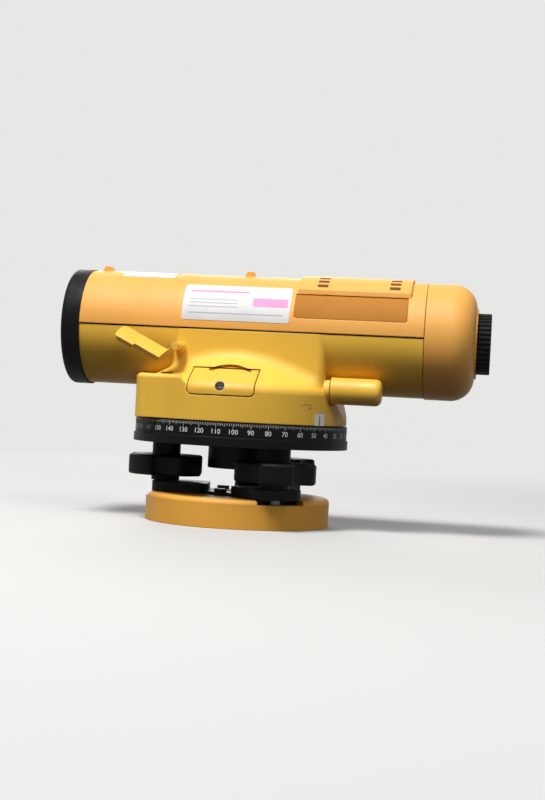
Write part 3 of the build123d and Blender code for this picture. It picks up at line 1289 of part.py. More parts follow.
def focus_lens():
    """Hollow lens in the focusing carriage."""
    radius = CARRIAGE_RADIUS - CARRIAGE_WALL - PRESS_CLEARANCE
    middle = (CARRIAGE_FRONT + CARRIAGE_REAR) / 2
    half = FOCUS_LENS_THICKNESS / 2
    return lens(radius, middle - half, middle + half, -half / 2, -half / 2)


def focus_shaft():
    """Focusing shaft with its pinion at the inner end."""
    root = PINION_RADIUS - TOOTH_DEDENDUM * FOCUS_MODULE
    tip = PINION_RADIUS + TOOTH_ADDENDUM * FOCUS_MODULE
    points = gear_outline(PINION_TEETH, root, tip, PINION_ROOT_SHARE, PINION_TIP_SHARE)
    outline = Plane.XZ * make_face(Polyline(*points, close=True))
    pinion = Pos(FOCUS_X, RACK_INNER + RACK_WIDTH, FOCUS_Z) * extrude(outline, RACK_WIDTH)
    end = FOCUS_KNOB_START + FOCUS_KNOB_LENGTH - FOCUS_KNOB_ROUND - OVERCUT
    return pinion + cross_bar(FOCUS_SHAFT_RADIUS, RACK_INNER + RACK_WIDTH, end, FOCUS_X, FOCUS_Z)


def focus_bush():
    """Bush of the focusing shaft in the wall of the neck."""
    end = FOCUS_KNOB_START - LOOSE_CLEARANCE
    bush = cross_bar(FOCUS_BUSH_RADIUS, FOCUS_BUSH_INNER, end, FOCUS_X, FOCUS_Z)
    bore = FOCUS_SHAFT_RADIUS + RUNNING_CLEARANCE
    return bush - cross_bar(bore, FOCUS_BUSH_INNER - OVERCUT, end + OVERCUT, FOCUS_X, FOCUS_Z)


def focus_knob():
    """Ribbed focusing knob on the right-hand side."""
    grip = fluted(FOCUS_KNOB_RADIUS, FOCUS_KNOB_RIB_DEPTH, FOCUS_KNOB_RIBS, FOCUS_KNOB_LENGTH)
    envelope = disc(FOCUS_KNOB_RADIUS + OVERCUT, 0, FOCUS_KNOB_LENGTH)
    rim = envelope.edges().filter_by(GeomType.CIRCLE).sort_by(Axis.Z)[-1:]
    grip = grip & round_edges(envelope, rim, FOCUS_KNOB_ROUND + OVERCUT)
    depth = FOCUS_KNOB_LENGTH - FOCUS_KNOB_ROUND - OVERCUT
    grip -= disc(FOCUS_SHAFT_RADIUS + PRESS_CLEARANCE, -OVERCUT, depth)
    return Pos(FOCUS_X, FOCUS_KNOB_START, FOCUS_Z) * Rot(-90, 0, 0) * grip


# Compensator

def compensator_frame():
    """Open frame with a front wall, two cheeks, a prism tray and a bridge that the pendulum hangs from."""
    half = FRAME_HALF_WIDTH
    low = WEB_TOP
    frame = block(FRAME_FRONT, FRAME_REAR, -half, half, low, low + FRAME_WALL)
    for side in (-1, 1):
        inner = min(side * half, side * (half - FRAME_WALL))
        frame += block(FRAME_FRONT, FRAME_REAR, inner, inner + FRAME_WALL, low, FRAME_TOP)
    front = block(FRAME_FRONT, FRAME_FRONT + FRAME_WALL, -half, half, low, FRAME_TOP)
    frame += front - bar(FRAME_WINDOW, FRAME_FRONT - OVERCUT, FRAME_FRONT + FRAME_WALL + OVERCUT)
    bridge = BRIDGE_LENGTH / 2
    frame += block(FRAME_MIDDLE - bridge, FRAME_MIDDLE + bridge, -half, half, BRIDGE_BOTTOM, FRAME_TOP)
    tray = block(FRAME_FRONT, FRAME_REAR, -half, half, TRAY_TOP - FRAME_WALL, TRAY_TOP)
    slot = PENDULUM_LENGTH / 2 + PENDULUM_CLEARANCE
    reach = PENDULUM_HALF_WIDTH + PENDULUM_CLEARANCE
    slot_low = TRAY_TOP - FRAME_WALL - OVERCUT
    tray -= block(FRAME_MIDDLE - slot, FRAME_MIDDLE + slot, -reach, reach, slot_low, TRAY_TOP + OVERCUT)
    return frame + tray


def prism(front, slope):
    """Glass prism on the tray whose inner face leans."""
    rear = front + PRISM_LENGTH
    top = TRAY_TOP + PRISM_HEIGHT
    foot = [(front, TRAY_TOP), (rear, TRAY_TOP)]
    points = foot + [(rear - max(slope, 0.0), top), (front + max(-slope, 0.0), top)]
    return plate_xz(points, -PRISM_HALF_WIDTH, PRISM_HALF_WIDTH)


def fixed_prisms():
    """Fixed prisms that turn the light down to the pendulum and back to the eyepiece."""
    room = PENDULUM_LENGTH / 2 + PENDULUM_CLEARANCE
    lean = PRISM_LENGTH / 2
    return [prism(FRAME_MIDDLE - room - PRISM_LENGTH, lean), prism(FRAME_MIDDLE + room, -lean)]


def pendulum():
    """Swinging stirrup under the bridge, with a platform for its mirror and balanced damping tails."""
    half = PENDULUM_LENGTH / 2
    reach = PENDULUM_HALF_WIDTH
    x_low = FRAME_MIDDLE - half
    x_high = FRAME_MIDDLE + half
    floor_top = PENDULUM_FLOOR + FRAME_WALL / 2
    swing = block(x_low, x_high, -reach, reach, PENDULUM_TOP - FRAME_WALL, PENDULUM_TOP)
    swing += block(x_low, x_high, -reach, reach, PENDULUM_FLOOR, floor_top)
    for side in (-1, 1):
        inner = min(side * reach, side * (reach - PENDULUM_ARM))
        swing += block(x_low, x_high, inner, inner + PENDULUM_ARM, PENDULUM_FLOOR, PENDULUM_TOP)
    tail = TAIL_HALF_WIDTH
    tail_top = PENDULUM_FLOOR + TAIL_THICKNESS
    return swing + block(x_low - TAIL_LENGTH, x_high + TAIL_LENGTH, -tail, tail, PENDULUM_FLOOR, tail_top)


def pendulum_mirror():
    """Small mirror on the pendulum's platform."""
    half = PENDULUM_LENGTH / 2
    reach = PENDULUM_HALF_WIDTH - PENDULUM_ARM - RUNNING_CLEARANCE
    low = PENDULUM_FLOOR + FRAME_WALL / 2
    top = low + PENDULUM_MIRROR_THICKNESS
    return block(FRAME_MIDDLE - half, FRAME_MIDDLE + half, -reach, reach, low, top)


def suspension_tapes():
    """Four thin tapes that the pendulum hangs on."""
    tapes = []
    half = TAPE_THICKNESS / 2
    for x_side in (-1, 1):
        x = FRAME_MIDDLE + x_side * TAPE_SPACING / 2
        for y_side in (-1, 1):
            y = y_side * (PENDULUM_HALF_WIDTH - TAPE_WIDTH)
            width = TAPE_WIDTH / 2
            low = BRIDGE_BOTTOM - TAPE_LENGTH
            tapes.append(block(x - half, x + half, y - width, y + width, low, BRIDGE_BOTTOM))
    return tapes


def damping_magnets():
    """Magnets above and below the pendulum's tail."""
    start = FRAME_MIDDLE + PENDULUM_LENGTH / 2 + PENDULUM_CLEARANCE
    half = TAIL_HALF_WIDTH
    floor_top = WEB_TOP + FRAME_WALL
    below = block(start, start + MAGNET_LENGTH, -half, half, floor_top, PENDULUM_FLOOR - LOOSE_CLEARANCE)
    tail_top = PENDULUM_FLOOR + TAIL_THICKNESS + LOOSE_CLEARANCE
    above = block(start, start + MAGNET_LENGTH, -half, half, tail_top, TRAY_TOP - FRAME_WALL)
    return [below, above]


# Reticle and eyepiece

def eyepiece_mount():
    """Wall at the rear of the tube with the barrel that the eyepiece slides in."""
    flange_end = MOUNT_FLANGE_START + MOUNT_FLANGE_THICKNESS
    mount = bar(CELL_SEAT_RADIUS, MOUNT_FLANGE_START, flange_end)
    mount += bar(BARREL_RADIUS, flange_end - OVERCUT, LOCK_RING_END)
    return mount - bar(BARREL_BORE, MOUNT_FLANGE_START - OVERCUT, LOCK_RING_END + OVERCUT)


def lock_ring():
    """Ring on the barrel that holds the rear cap, with a rim round the foot of the eyepiece ring."""
    ring = sleeve(LOCK_RING_RADIUS, BARREL_RADIUS + PRESS_CLEARANCE, LOCK_RING_START, LOCK_RING_END)
    rim_bore = EYEPIECE_RADIUS + LOCK_RIM_GAP
    return ring + sleeve(LOCK_RING_RADIUS, rim_bore, LOCK_RING_END, LOCK_RING_END + LOCK_RIM_LENGTH)


def reticle_holder():
    """Ring in the mount that holds the reticle."""
    start = MOUNT_FLANGE_START
    end = start + RETICLE_HOLDER_THICKNESS
    holder = sleeve(BARREL_BORE - PRESS_CLEARANCE, RETICLE_RADIUS - LENS_LIP, start, end)
    return holder - bar(RETICLE_RADIUS + PRESS_CLEARANCE, end - RETICLE_THICKNESS, end + OVERCUT)


def reticle_glass():
    """Glass disc with the cross hairs."""
    end = MOUNT_FLANGE_START + RETICLE_HOLDER_THICKNESS
    return bar(RETICLE_RADIUS, end - RETICLE_THICKNESS, end)


def eyepiece_tube():
    """Sliding lens tube of the eyepiece."""
    return sleeve(EYE_TUBE_RADIUS, EYE_LENS_RADIUS + PRESS_CLEARANCE, EYE_TUBE_START, EYE_TUBE_END)


def eyepiece_lenses():
    """Field lens and eye lens at the two ends of the eyepiece tube."""
    field_start = EYE_TUBE_START + FIELD_LENS_THICKNESS / 2
    field_end = field_start + FIELD_LENS_THICKNESS / 2
    field_sag = FIELD_LENS_THICKNESS / 4
    eye_end = EYE_TUBE_END - EYE_LENS_THICKNESS / 4 - LOOSE_CLEARANCE
    eye_start = eye_end - EYE_LENS_THICKNESS / 2
    eye_sag = EYE_LENS_THICKNESS / 4
    return [
        lens(EYE_LENS_RADIUS, field_start, field_end, field_sag, field_sag),
        lens(EYE_LENS_RADIUS, eye_start, eye_end, eye_sag, eye_sag),
    ]


def eyepiece_ring():
    """Fine-ribbed dioptre ring that turns on the end of the eyepiece tube."""
    grip = fluted(EYEPIECE_RADIUS, EYEPIECE_RIB_DEPTH, EYEPIECE_RIBS, EYEPIECE_LENGTH)
    envelope = disc(EYEPIECE_RADIUS + OVERCUT, 0, EYEPIECE_LENGTH)
    rim = envelope.edges().filter_by(GeomType.CIRCLE).sort_by(Axis.Z)[-1:]
    grip = grip & round_edges(envelope, rim, EYEPIECE_ROUND + OVERCUT)
    tube_room = EYEPIECE_LENGTH - EYEPIECE_LIP + RUNNING_CLEARANCE
    grip -= disc(EYE_TUBE_RADIUS + RUNNING_CLEARANCE, -OVERCUT, tube_room)
    grip -= disc(EYEPIECE_APERTURE, 0, EYEPIECE_LENGTH + OVERCUT)
    return Pos(EYEPIECE_START, 0, AXIS_Z) * Rot(0, 90, 0) * grip


def all_nodes():
    """Every piece by its node's name, as a list of its solids."""
    nodes = {
        "base_plate": base_plate(),
        "spring_plate": spring_plate(),
        "spring_screws": spring_screws(),
        "levelling_head": levelling_head(),
        "axis_bush": axis_bush(),
        "clutch_spring": clutch_spring(),
        "clutch_circlip": clutch_circlip(),
        "horizontal_circle": horizontal_circle(),
        "worm_wheel": worm_wheel(),
        "vertical_spindle": vertical_spindle(),
        "spindle_nut": spindle_nut(),
        "spindle_screws": spindle_screws(),
        "worm_shaft": worm_shaft(),
        "worm_bracket": worm_bracket(),
        "tangent_knob": tangent_knob(),
        "lower_housing": lower_housing(),
        "bottom_plate": bottom_plate(),
        "bottom_screws": bottom_screws(),
        "index_plate": index_plate(),
        "service_cover": service_cover(),
        "cover_screw": cover_screw(),
        "bubble_holder": bubble_holder(),
        "bubble_vial": bubble_vial(),
        "mirror_flap": mirror_flap(),
        "mirror_glass": mirror_glass(),
        "mirror_pin": mirror_pin(),
        "upper_cover": upper_cover(),
        "rear_cap": rear_cap(),
        "objective_hood": objective_hood(),
        "objective_cell": objective_cell(),
        "objective_crown": objective_crown(),
        "objective_flint": objective_flint(),
        "objective_retainer": objective_retainer(),
        "guide_rods": guide_rods(),
        "focus_carriage": focus_carriage(),
        "focus_lens": focus_lens(),
        "focus_shaft": focus_shaft(),
        "focus_bush": focus_bush(),
        "focus_knob": focus_knob(),
        "compensator_frame": compensator_frame(),
        "fixed_prisms": fixed_prisms(),
        "pendulum": pendulum(),
        "pendulum_mirror": pendulum_mirror(),
        "suspension_tapes": suspension_tapes(),
        "damping_magnets": damping_magnets(),
        "eyepiece_mount": eyepiece_mount(),
        "lock_ring": lock_ring(),
        "reticle_holder": reticle_holder(),
        "reticle_glass": reticle_glass(),
        "eyepiece_tube": eyepiece_tube(),
        "eyepiece_lenses": eyepiece_lenses(),
        "eyepiece_ring": eyepiece_ring(),
    }
    fixed_nuts = []
    for name, (x, y) in zip(FOOT_NAMES, FOOT_POINTS):
        nodes["foot_screw_" + name] = foot_screw(x, y)
        nodes["foot_knob_" + name] = foot_knob(x, y, KNOB_TURNS[name])
        if name == SWIVEL_FOOT:
            nodes["foot_nut_" + name] = foot_nut(x, y)
        else:
            fixed_nuts.append(foot_nut(x, y))
    nodes["fixed_foot_nuts"] = fixed_nuts
    return nodes


def main():
    """Writes each piece to its own file."""
    os.makedirs("parts", exist_ok=True)
    for name, piece in all_nodes().items():
        shape = Compound(children=piece) if isinstance(piece, list) else piece
        export_step(shape, os.path.join("parts", name + ".step"))


main()
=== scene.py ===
import json
import logging
import math
from dataclasses import dataclass
from enum import Enum
from typing import Iterable, Sequence

import bpy
from bpy.types import Material, Mesh, Node, NodeOutputs, NodeSocket, NodeTree, Object
from mathutils import Color, Matrix, Vector


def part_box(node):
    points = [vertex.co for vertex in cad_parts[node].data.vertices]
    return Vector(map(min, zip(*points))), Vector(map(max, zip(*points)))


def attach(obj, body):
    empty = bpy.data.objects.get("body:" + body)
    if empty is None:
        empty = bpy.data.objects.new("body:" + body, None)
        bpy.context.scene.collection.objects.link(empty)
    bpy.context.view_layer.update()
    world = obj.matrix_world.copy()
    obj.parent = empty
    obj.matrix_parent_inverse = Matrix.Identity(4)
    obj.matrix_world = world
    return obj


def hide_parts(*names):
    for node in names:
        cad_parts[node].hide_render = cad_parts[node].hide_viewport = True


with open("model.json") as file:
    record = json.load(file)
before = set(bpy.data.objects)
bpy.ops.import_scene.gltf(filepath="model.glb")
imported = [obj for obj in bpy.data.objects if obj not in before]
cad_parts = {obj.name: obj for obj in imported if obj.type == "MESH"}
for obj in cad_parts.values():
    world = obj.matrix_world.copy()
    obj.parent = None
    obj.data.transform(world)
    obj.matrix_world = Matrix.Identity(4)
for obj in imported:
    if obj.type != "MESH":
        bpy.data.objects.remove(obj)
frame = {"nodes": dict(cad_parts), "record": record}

LOG = logging.getLogger("optical_level")
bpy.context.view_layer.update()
MM = 0.001

Colour = tuple[float, float, float]
Point = tuple[float, float, float]
Span = tuple[float, float]
Face = tuple[int, ...]

# Places of the colour sockets on Blender's mix node.
MIX_FACTOR, MIX_FIRST, MIX_SECOND, MIX_RESULT = 0, 6, 7, 2

DISPLAY_WHITE = 255.0
BEVEL_SAMPLES = 4
SHARP_ANGLE = math.radians(35.0)

# Smallest radius of a turned piece, in metres.
AXIS_REACH = 1e-6

# Height of a digit as a share of its font's size, and the steps of its curves.
DIGIT_SHARE = 0.7
DIGIT_STEPS = 3


class Body(Enum):
    """Moving bodies that the added pieces ride on."""

    CIRCLE = "circle"
    TELESCOPE = "telescope"


class Slot(Enum):
    """Material slots of the record."""

    ORANGE = "cover_orange"
    YELLOW = "body_yellow"
    YELLOW_PLASTIC = "yellow_plastic"
    BLACK = "black_plastic"
    PAINT = "black_paint"
    STEEL = "steel"
    BRONZE = "bronze"
    ALUMINIUM = "aluminium"
    GLASS = "glass"
    MIRROR = "mirror"
    WHITE = "white_plastic"


class Effect(Enum):
    """Shader node groups that several finishes share."""

    EDGE_WEAR = "edge_wear"
    PEEL = "enamel_peel"
    GRAIN = "moulded_grain"
    DUST = "settled_dust"
    TURNED = "turned_lines"
    SCUFF = "scuffed_spot"


def rgb(red: int, green: int, blue: int) -> Colour:
    """Scene-linear colour of a display colour.

    Args:
        red: Red from 0 to 255.
        green: Green from 0 to 255.
        blue: Blue from 0 to 255.

    Returns:
        The colour in scene-linear values.
    """
    shown = Color((red, green, blue)) * (1.0 / DISPLAY_WHITE)
    return tuple(shown.from_srgb_to_scene_linear())


class Graph:
    """Adds and links nodes in one shader node tree."""

    def __init__(self, tree: NodeTree) -> None:
        """Keeps the tree that nodes are added to."""
        self.tree = tree

    def fill(self, socket: NodeSocket, value: object) -> None:
        """Sets an input socket, or links it.

        Args:
            socket: The input socket.
            value: Plain value, or the output socket to link from.
        """
        if isinstance(value, NodeSocket):
            self.tree.links.new(value, socket)
        else:
            socket.default_value = value

    def put(self, node: Node, **values: object) -> None:
        """Sets or links a node's inputs, named with underscores for spaces."""
        for name, value in values.items():
            self.fill(node.inputs[name.replace("_", " ")], value)

    def add(self, kind: str, **values: object) -> Node:
        """Adds a node and sets or links its inputs.

        Args:
            kind: Blender's name for the node type.
            **values: Values or output sockets, named with underscores for spaces.

        Returns:
            The new node.
        """
        node = self.tree.nodes.new(kind)
        self.put(node, **values)
        return node

    def pair(self, kind: str, operation: str, first: object, second: object) -> NodeOutputs:
        """Adds a node that works on two values.

        Args:
            kind: Blender's name for the node type.
            operation: Blender's name for the operation.
            first: First value or socket.
            second: Second value or socket.

        Returns:
            The node's output sockets.
        """
        node = self.add(kind)
        node.operation = operation
        self.fill(node.inputs[0], first)
        self.fill(node.inputs[1], second)
        return node.outputs

    def math(self, operation: str, first: object, second: object) -> NodeSocket:
        """Output of a maths node on two values or sockets."""
        return self.pair("ShaderNodeMath", operation, first, second)[0]

    def vector(self, operation: str, first: object, second: object = (0.0, 0.0, 0.0)) -> NodeOutputs:
        """Outputs of a vector maths node on two vectors or sockets."""
        return self.pair("ShaderNodeVectorMath", operation, first, second)

    def mix(self, factor: object, first: object, second: object) -> NodeSocket:
        """Adds a colour mix.

        Args:
            factor: Value or socket that chooses the second colour.
            first: First colour or socket.
            second: Second colour or socket.

        Returns:
            The mixed colour's socket.
        """
        node = self.add("ShaderNodeMix")
        node.data_type = "RGBA"
        for index, value in ((MIX_FACTOR, factor), (MIX_FIRST, first), (MIX_SECOND, second)):
            self.fill(node.inputs[index], (*value, 1.0) if isinstance(value, tuple) else value)
        return node.outputs[MIX_RESULT]

    def span(
        self, value: object, low: float, high: float, to_low: float = 0.0, to_high: float = 1.0,
    ) -> NodeSocket:
        """Output of a clamped map of a value from one range to another."""
        limits = {"From_Min": low, "From_Max": high, "To_Min": to_low, "To_Max": to_high}
        return self.add("ShaderNodeMapRange", Value=value, **limits).outputs[0]

    def noise(self, place: NodeSocket, scale: object, detail: float, rough: float = 0.5) -> NodeSocket:
        """Output of a noise texture at a place, with its scale, its finer layers and their strength."""
        inputs = {"Vector": place, "Scale": scale, "Detail": detail, "Roughness": rough}
        return self.add("ShaderNodeTexNoise", **inputs).outputs[0]

    def place(self) -> NodeSocket:
        """Socket of the place on the object, in metres."""
        return self.add("ShaderNodeTexCoord").outputs["Object"]

    def normal(self) -> NodeSocket:
        """Socket of the surface's true normal."""
        return self.add("ShaderNodeNewGeometry").outputs["Normal"]


class EffectLibrary:
    """Builds each shared node group once."""

    EDGE_TURN: Span = (0.985, 0.86)
    EDGE_BREAKS: Span = (0.42, 0.62)
    PEEL_PATCHES: Span = (0.35, 0.68)
    GRAIN_PATCHES: Span = (0.3, 0.7)
    GRAIN_CELLS = 0.6
    GRAIN_FINE = 0.5
    DUST_SLOPES: Span = (0.35, 1.0)
    DUST_SPECKS: Span = (0.4, 0.72)
    DUST_ROUGH = 0.7
    LATHE_STRETCH: Point = (0.03, 0.03, 1.0)
    LATHE_TONES: Span = (0.35, 0.65)
    SCUFF_REACH: Span = (1.0, 0.3)
    SCUFF_SLANT: Point = (0.5, 0.35, 0.4)
    SCUFF_STRETCH: Point = (0.35, 0.35, 1.0)
    SCUFF_MARKS: Span = (0.57, 0.63)

    def __init__(self) -> None:
        """Starts with no groups built."""
        self.built: dict[Effect, NodeTree] = {}

    def group(self, effect: Effect) -> NodeTree:
        """Node group of an effect, built at its first use.

        Args:
            effect: The effect that is wanted.

        Returns:
            The effect's node group.
        """
        if effect not in self.built:
            makers = {
                Effect.EDGE_WEAR: self._edge_wear, Effect.PEEL: self._peel, Effect.GRAIN: self._grain,
                Effect.DUST: self._dust, Effect.TURNED: self._turned, Effect.SCUFF: self._scuff,
            }
            makers[effect]()
        return self.built[effect]

    def _start(
        self, effect: Effect, inputs: dict[str, float | Point], outputs: Iterable[str],
    ) -> tuple[Graph, NodeOutputs, Node]:
        """Makes and keeps an empty group with named sockets.

        Args:
            effect: Effect that gives the group its name.
            inputs: Input names with their default values, each a number or a place.
            outputs: Output names.

        Returns:
            The group's graph, the sockets of its inputs and its output node.
        """
        tree = bpy.data.node_groups.new(effect.value, "ShaderNodeTree")
        for label, value in inputs.items():
            kind = "NodeSocketVector" if isinstance(value, tuple) else "NodeSocketFloat"
            socket = tree.interface.new_socket(label, in_out="INPUT", socket_type=kind)
            socket.default_value = value
        for label in outputs:
            tree.interface.new_socket(label, in_out="OUTPUT", socket_type="NodeSocketFloat")
        self.built[effect] = tree
        start = tree.nodes.new("NodeGroupInput")
        return Graph(tree), start.outputs, tree.nodes.new("NodeGroupOutput")

    def _edge_wear(self) -> None:
        """Makes the mask of rubbed edges, where a rounded normal leaves the true one."""
        inputs = {"Radius": 0.8 * MM, "Amount": 0.5, "Scale": 350.0}
        graph, given, out = self._start(Effect.EDGE_WEAR, inputs, ["Mask"])
        bevel = graph.add("ShaderNodeBevel", Radius=given["Radius"])
        bevel.samples = BEVEL_SAMPLES
        turn = graph.vector("DOT_PRODUCT", bevel.outputs[0], graph.normal())["Value"]
        edge = graph.span(turn, *self.EDGE_TURN)
        broken = graph.span(graph.noise(graph.place(), given["Scale"], 4.0), *self.EDGE_BREAKS)
        mask = graph.math("MULTIPLY", edge, broken)
        graph.put(out, Mask=graph.math("MULTIPLY", mask, given["Amount"]))

    def _peel(self) -> None:
        """Makes the slight waviness of sprayed enamel and its slow changes of tone."""
        inputs = {"Scale": 700.0, "Patch Scale": 22.0}
        graph, given, out = self._start(Effect.PEEL, inputs, ["Height", "Tone"])
        place = graph.place()
        wide = graph.noise(place, given["Patch Scale"], 3.0)
        graph.put(out, Height=graph.noise(place, given["Scale"], 2.0))
        graph.put(out, Tone=graph.span(wide, *self.PEEL_PATCHES))

    def _grain(self) -> None:
        """Makes the fine pebbled grain of moulded plastic and a slow change of gloss."""
        inputs = {"Scale": 2200.0, "Patch Scale": 60.0}
        graph, given, out = self._start(Effect.GRAIN, inputs, ["Height", "Tone"])
        place = graph.place()
        cells = graph.add("ShaderNodeTexVoronoi", Vector=place, Scale=given["Scale"])
        pebbles = graph.math("MULTIPLY", cells.outputs["Distance"], self.GRAIN_CELLS)
        fine = graph.math("MULTIPLY", graph.noise(place, given["Scale"], 2.0), self.GRAIN_FINE)
        wide = graph.noise(place, given["Patch Scale"], 4.0)
        graph.put(out, Height=graph.math("ADD", pebbles, fine))
        graph.put(out, Tone=graph.span(wide, *self.GRAIN_PATCHES))

    def _dust(self) -> None:
        """Makes the mask of dust that lies on faces that look up."""
        graph, given, out = self._start(Effect.DUST, {"Amount": 0.3, "Scale": 160.0}, ["Mask"])
        parts = graph.add("ShaderNodeSeparateXYZ", Vector=graph.normal())
        up = graph.span(parts.outputs["Z"], *self.DUST_SLOPES)
        noise = graph.noise(graph.place(), given["Scale"], 6.0, self.DUST_ROUGH)
        mask = graph.math("MULTIPLY", up, graph.span(noise, *self.DUST_SPECKS))
        graph.put(out, Mask=graph.math("MULTIPLY", mask, given["Amount"]))

    def _turned(self) -> None:
        """Makes fine lathe lines about the upright axis, as height and tone."""
        graph, given, out = self._start(Effect.TURNED, {"Scale": 3000.0}, ["Height", "Tone"])
        drawn = graph.vector("MULTIPLY", graph.place(), self.LATHE_STRETCH)
        lines = graph.noise(drawn[0], given["Scale"], 3.0)
        graph.put(out, Height=lines, Tone=graph.span(lines, *self.LATHE_TONES))

    def _scuff(self) -> None:
        """Makes the mask of short scratches in a small round spot."""
        inputs = {"Centre": (0.0, 0.0, 0.0), "Radius": 5.0 * MM, "Scale": 900.0}
        graph, given, out = self._start(Effect.SCUFF, inputs, ["Mask"])
        place = graph.place()
        away = graph.vector("DISTANCE", place, given["Centre"])["Value"]
        near = graph.span(graph.math("DIVIDE", away, given["Radius"]), *self.SCUFF_REACH)
        slant = graph.add(
            "ShaderNodeMapping", Vector=place, Rotation=self.SCUFF_SLANT, Scale=self.SCUFF_STRETCH,
        )
        marks = graph.span(graph.noise(slant.outputs[0], given["Scale"], 2.0), *self.SCUFF_MARKS)
        graph.put(out, Mask=graph.math("MULTIPLY", near, marks))


EFFECTS = EffectLibrary()


@dataclass(frozen=True)
class Relief:
    """Bump of a finish, and the rounding of its edges in metres."""

    strength: float
    depth: float
    edge: float


class Surface(Graph):
    """A material with one surface shader, and the nodes that feed it."""

    def __init__(self, name: str) -> None:
        """Makes an empty material with its shader.

        Args:
            name: Name of the material.
        """
        self.material = bpy.data.materials.new(name)
        self.material.use_nodes = True
        super().__init__(self.material.node_tree)
        self.tree.nodes.clear()
        self.shader = self.add("ShaderNodeBsdfPrincipled")
        self.output = self.add("ShaderNodeOutputMaterial", Surface=self.shader.outputs["BSDF"])

    def show(self, **values: object) -> None:
        """Sets or links the shader's inputs, named with underscores for spaces."""
        self.put(self.shader, **values)

    def effect(self, effect: Effect, **values: object) -> NodeOutputs:
        """Places a shared effect.

        Args:
            effect: Effect that is placed.
            **values: The effect's inputs, named with underscores for spaces.

        Returns:
            The effect's output sockets.
        """
        node = self.add("ShaderNodeGroup")
        node.node_tree = EFFECTS.group(effect)
        self.put(node, **values)
        return node.outputs

    def relief(self, height: NodeSocket, relief: Relief) -> None:
        """Gives the shader its bump on softly rounded edges.

        Args:
            height: Socket of the bump's height.
            relief: Strength and sizes of the bump.
        """
        soft = self.add("ShaderNodeBevel", Radius=relief.edge)
        soft.samples = BEVEL_SAMPLES
        bump = self.add(
            "ShaderNodeBump", Strength=relief.strength, Distance=relief.depth, Height=height,
            Normal=soft.outputs[0],
        )
        self.show(Normal=bump.outputs[0])


class Finish:
    """A surface finish that can make its material."""

    name: str

    def dress(self, surface: Surface) -> None:
        """Feeds the finish into a surface's shader."""
        raise NotImplementedError

    def material(self) -> Material:
        """Makes the finish's material.

        Returns:
            The new material.
        """
        surface = Surface(self.name)
        self.dress(surface)
        return surface.material


@dataclass(frozen=True)
class Enamel(Finish):
    """Sprayed enamel with orange peel, worn edges and some dust."""

    name: str
    colour: Colour
    deep: Colour
    rubbed: Colour
    gloss: float = 0.48
    wear: float = 0.4
    dust: float = 0.06
    specular: float = 0.42
    scuff_at: Point = (0.0, 0.0, -1.0)
    scuff_radius: float = 6.0 * MM
    scuff_colour: Colour = rgb(120, 82, 34)
    scuff_depth: float = 0.7
    dust_colour: Colour = rgb(214, 205, 190)
    dust_rough: float = 0.4
    tone_depth: float = 0.55
    tone_rough: float = 0.12
    relief: Relief = Relief(0.10, 0.2 * MM, 0.7 * MM)

    def dress(self, surface: Surface) -> None:
        """Feeds the enamel's colour and gloss into a shader.

        Args:
            surface: Surface that is dressed.
        """
        peel = surface.effect(Effect.PEEL, Scale=750.0, Patch_Scale=24.0)
        wear = surface.effect(Effect.EDGE_WEAR, Radius=0.6 * MM, Amount=self.wear, Scale=420.0)
        dust = surface.effect(Effect.DUST, Amount=self.dust, Scale=240.0)
        scuff = surface.effect(Effect.SCUFF, Centre=self.scuff_at, Radius=self.scuff_radius, Scale=1000.0)
        tone = surface.math("MULTIPLY", peel["Tone"], self.tone_depth)
        worn = surface.mix(wear["Mask"], surface.mix(tone, self.colour, self.deep), self.rubbed)
        scratch = surface.math("MULTIPLY", scuff["Mask"], self.scuff_depth)
        worn = surface.mix(scratch, worn, self.scuff_colour)
        rough = surface.span(peel["Tone"], 0.0, 1.0, self.gloss, self.gloss + self.tone_rough)
        dulled = surface.math("MULTIPLY", dust["Mask"], self.dust_rough)
        surface.show(
            Base_Color=surface.mix(dust["Mask"], worn, self.dust_colour),
            Roughness=surface.math("ADD", rough, dulled), Specular_IOR_Level=self.specular,
        )
        surface.relief(peel["Height"], self.relief)


@dataclass(frozen=True)
class Moulded(Finish):
    """Moulded plastic with a pebbled grain, paler rubbed edges and dust."""

    name: str
    colour: Colour
    deep: Colour
    rubbed: Colour
    rough: float = 0.5
    grain: float = 0.25
    grain_scale: float = 2200.0
    wear: float = 0.5
    dust: float = 0.05
    specular: float = 0.5
    dust_colour: Colour = rgb(170, 164, 154)
    rough_span: Span = (-0.07, 0.1)
    grain_depth: float = 0.15 * MM
    edge: float = 0.6 * MM

    def dress(self, surface: Surface) -> None:
        """Feeds the plastic's colour and gloss into a shader.

        Args:
            surface: Surface that is dressed.
        """
        grain = surface.effect(Effect.GRAIN, Scale=self.grain_scale, Patch_Scale=70.0)
        wear = surface.effect(Effect.EDGE_WEAR, Radius=self.edge, Amount=self.wear, Scale=500.0)
        dust = surface.effect(Effect.DUST, Amount=self.dust, Scale=260.0)
        toned = surface.mix(grain["Tone"], self.colour, self.deep)
        worn = surface.mix(wear["Mask"], toned, self.rubbed)
        low, high = (self.rough + change for change in self.rough_span)
        surface.show(
            Base_Color=surface.mix(dust["Mask"], worn, self.dust_colour),
            Roughness=surface.span(grain["Tone"], 0.0, 1.0, low, high), Specular_IOR_Level=self.specular,
        )
        surface.relief(grain["Height"], Relief(self.grain, self.grain_depth, self.edge))


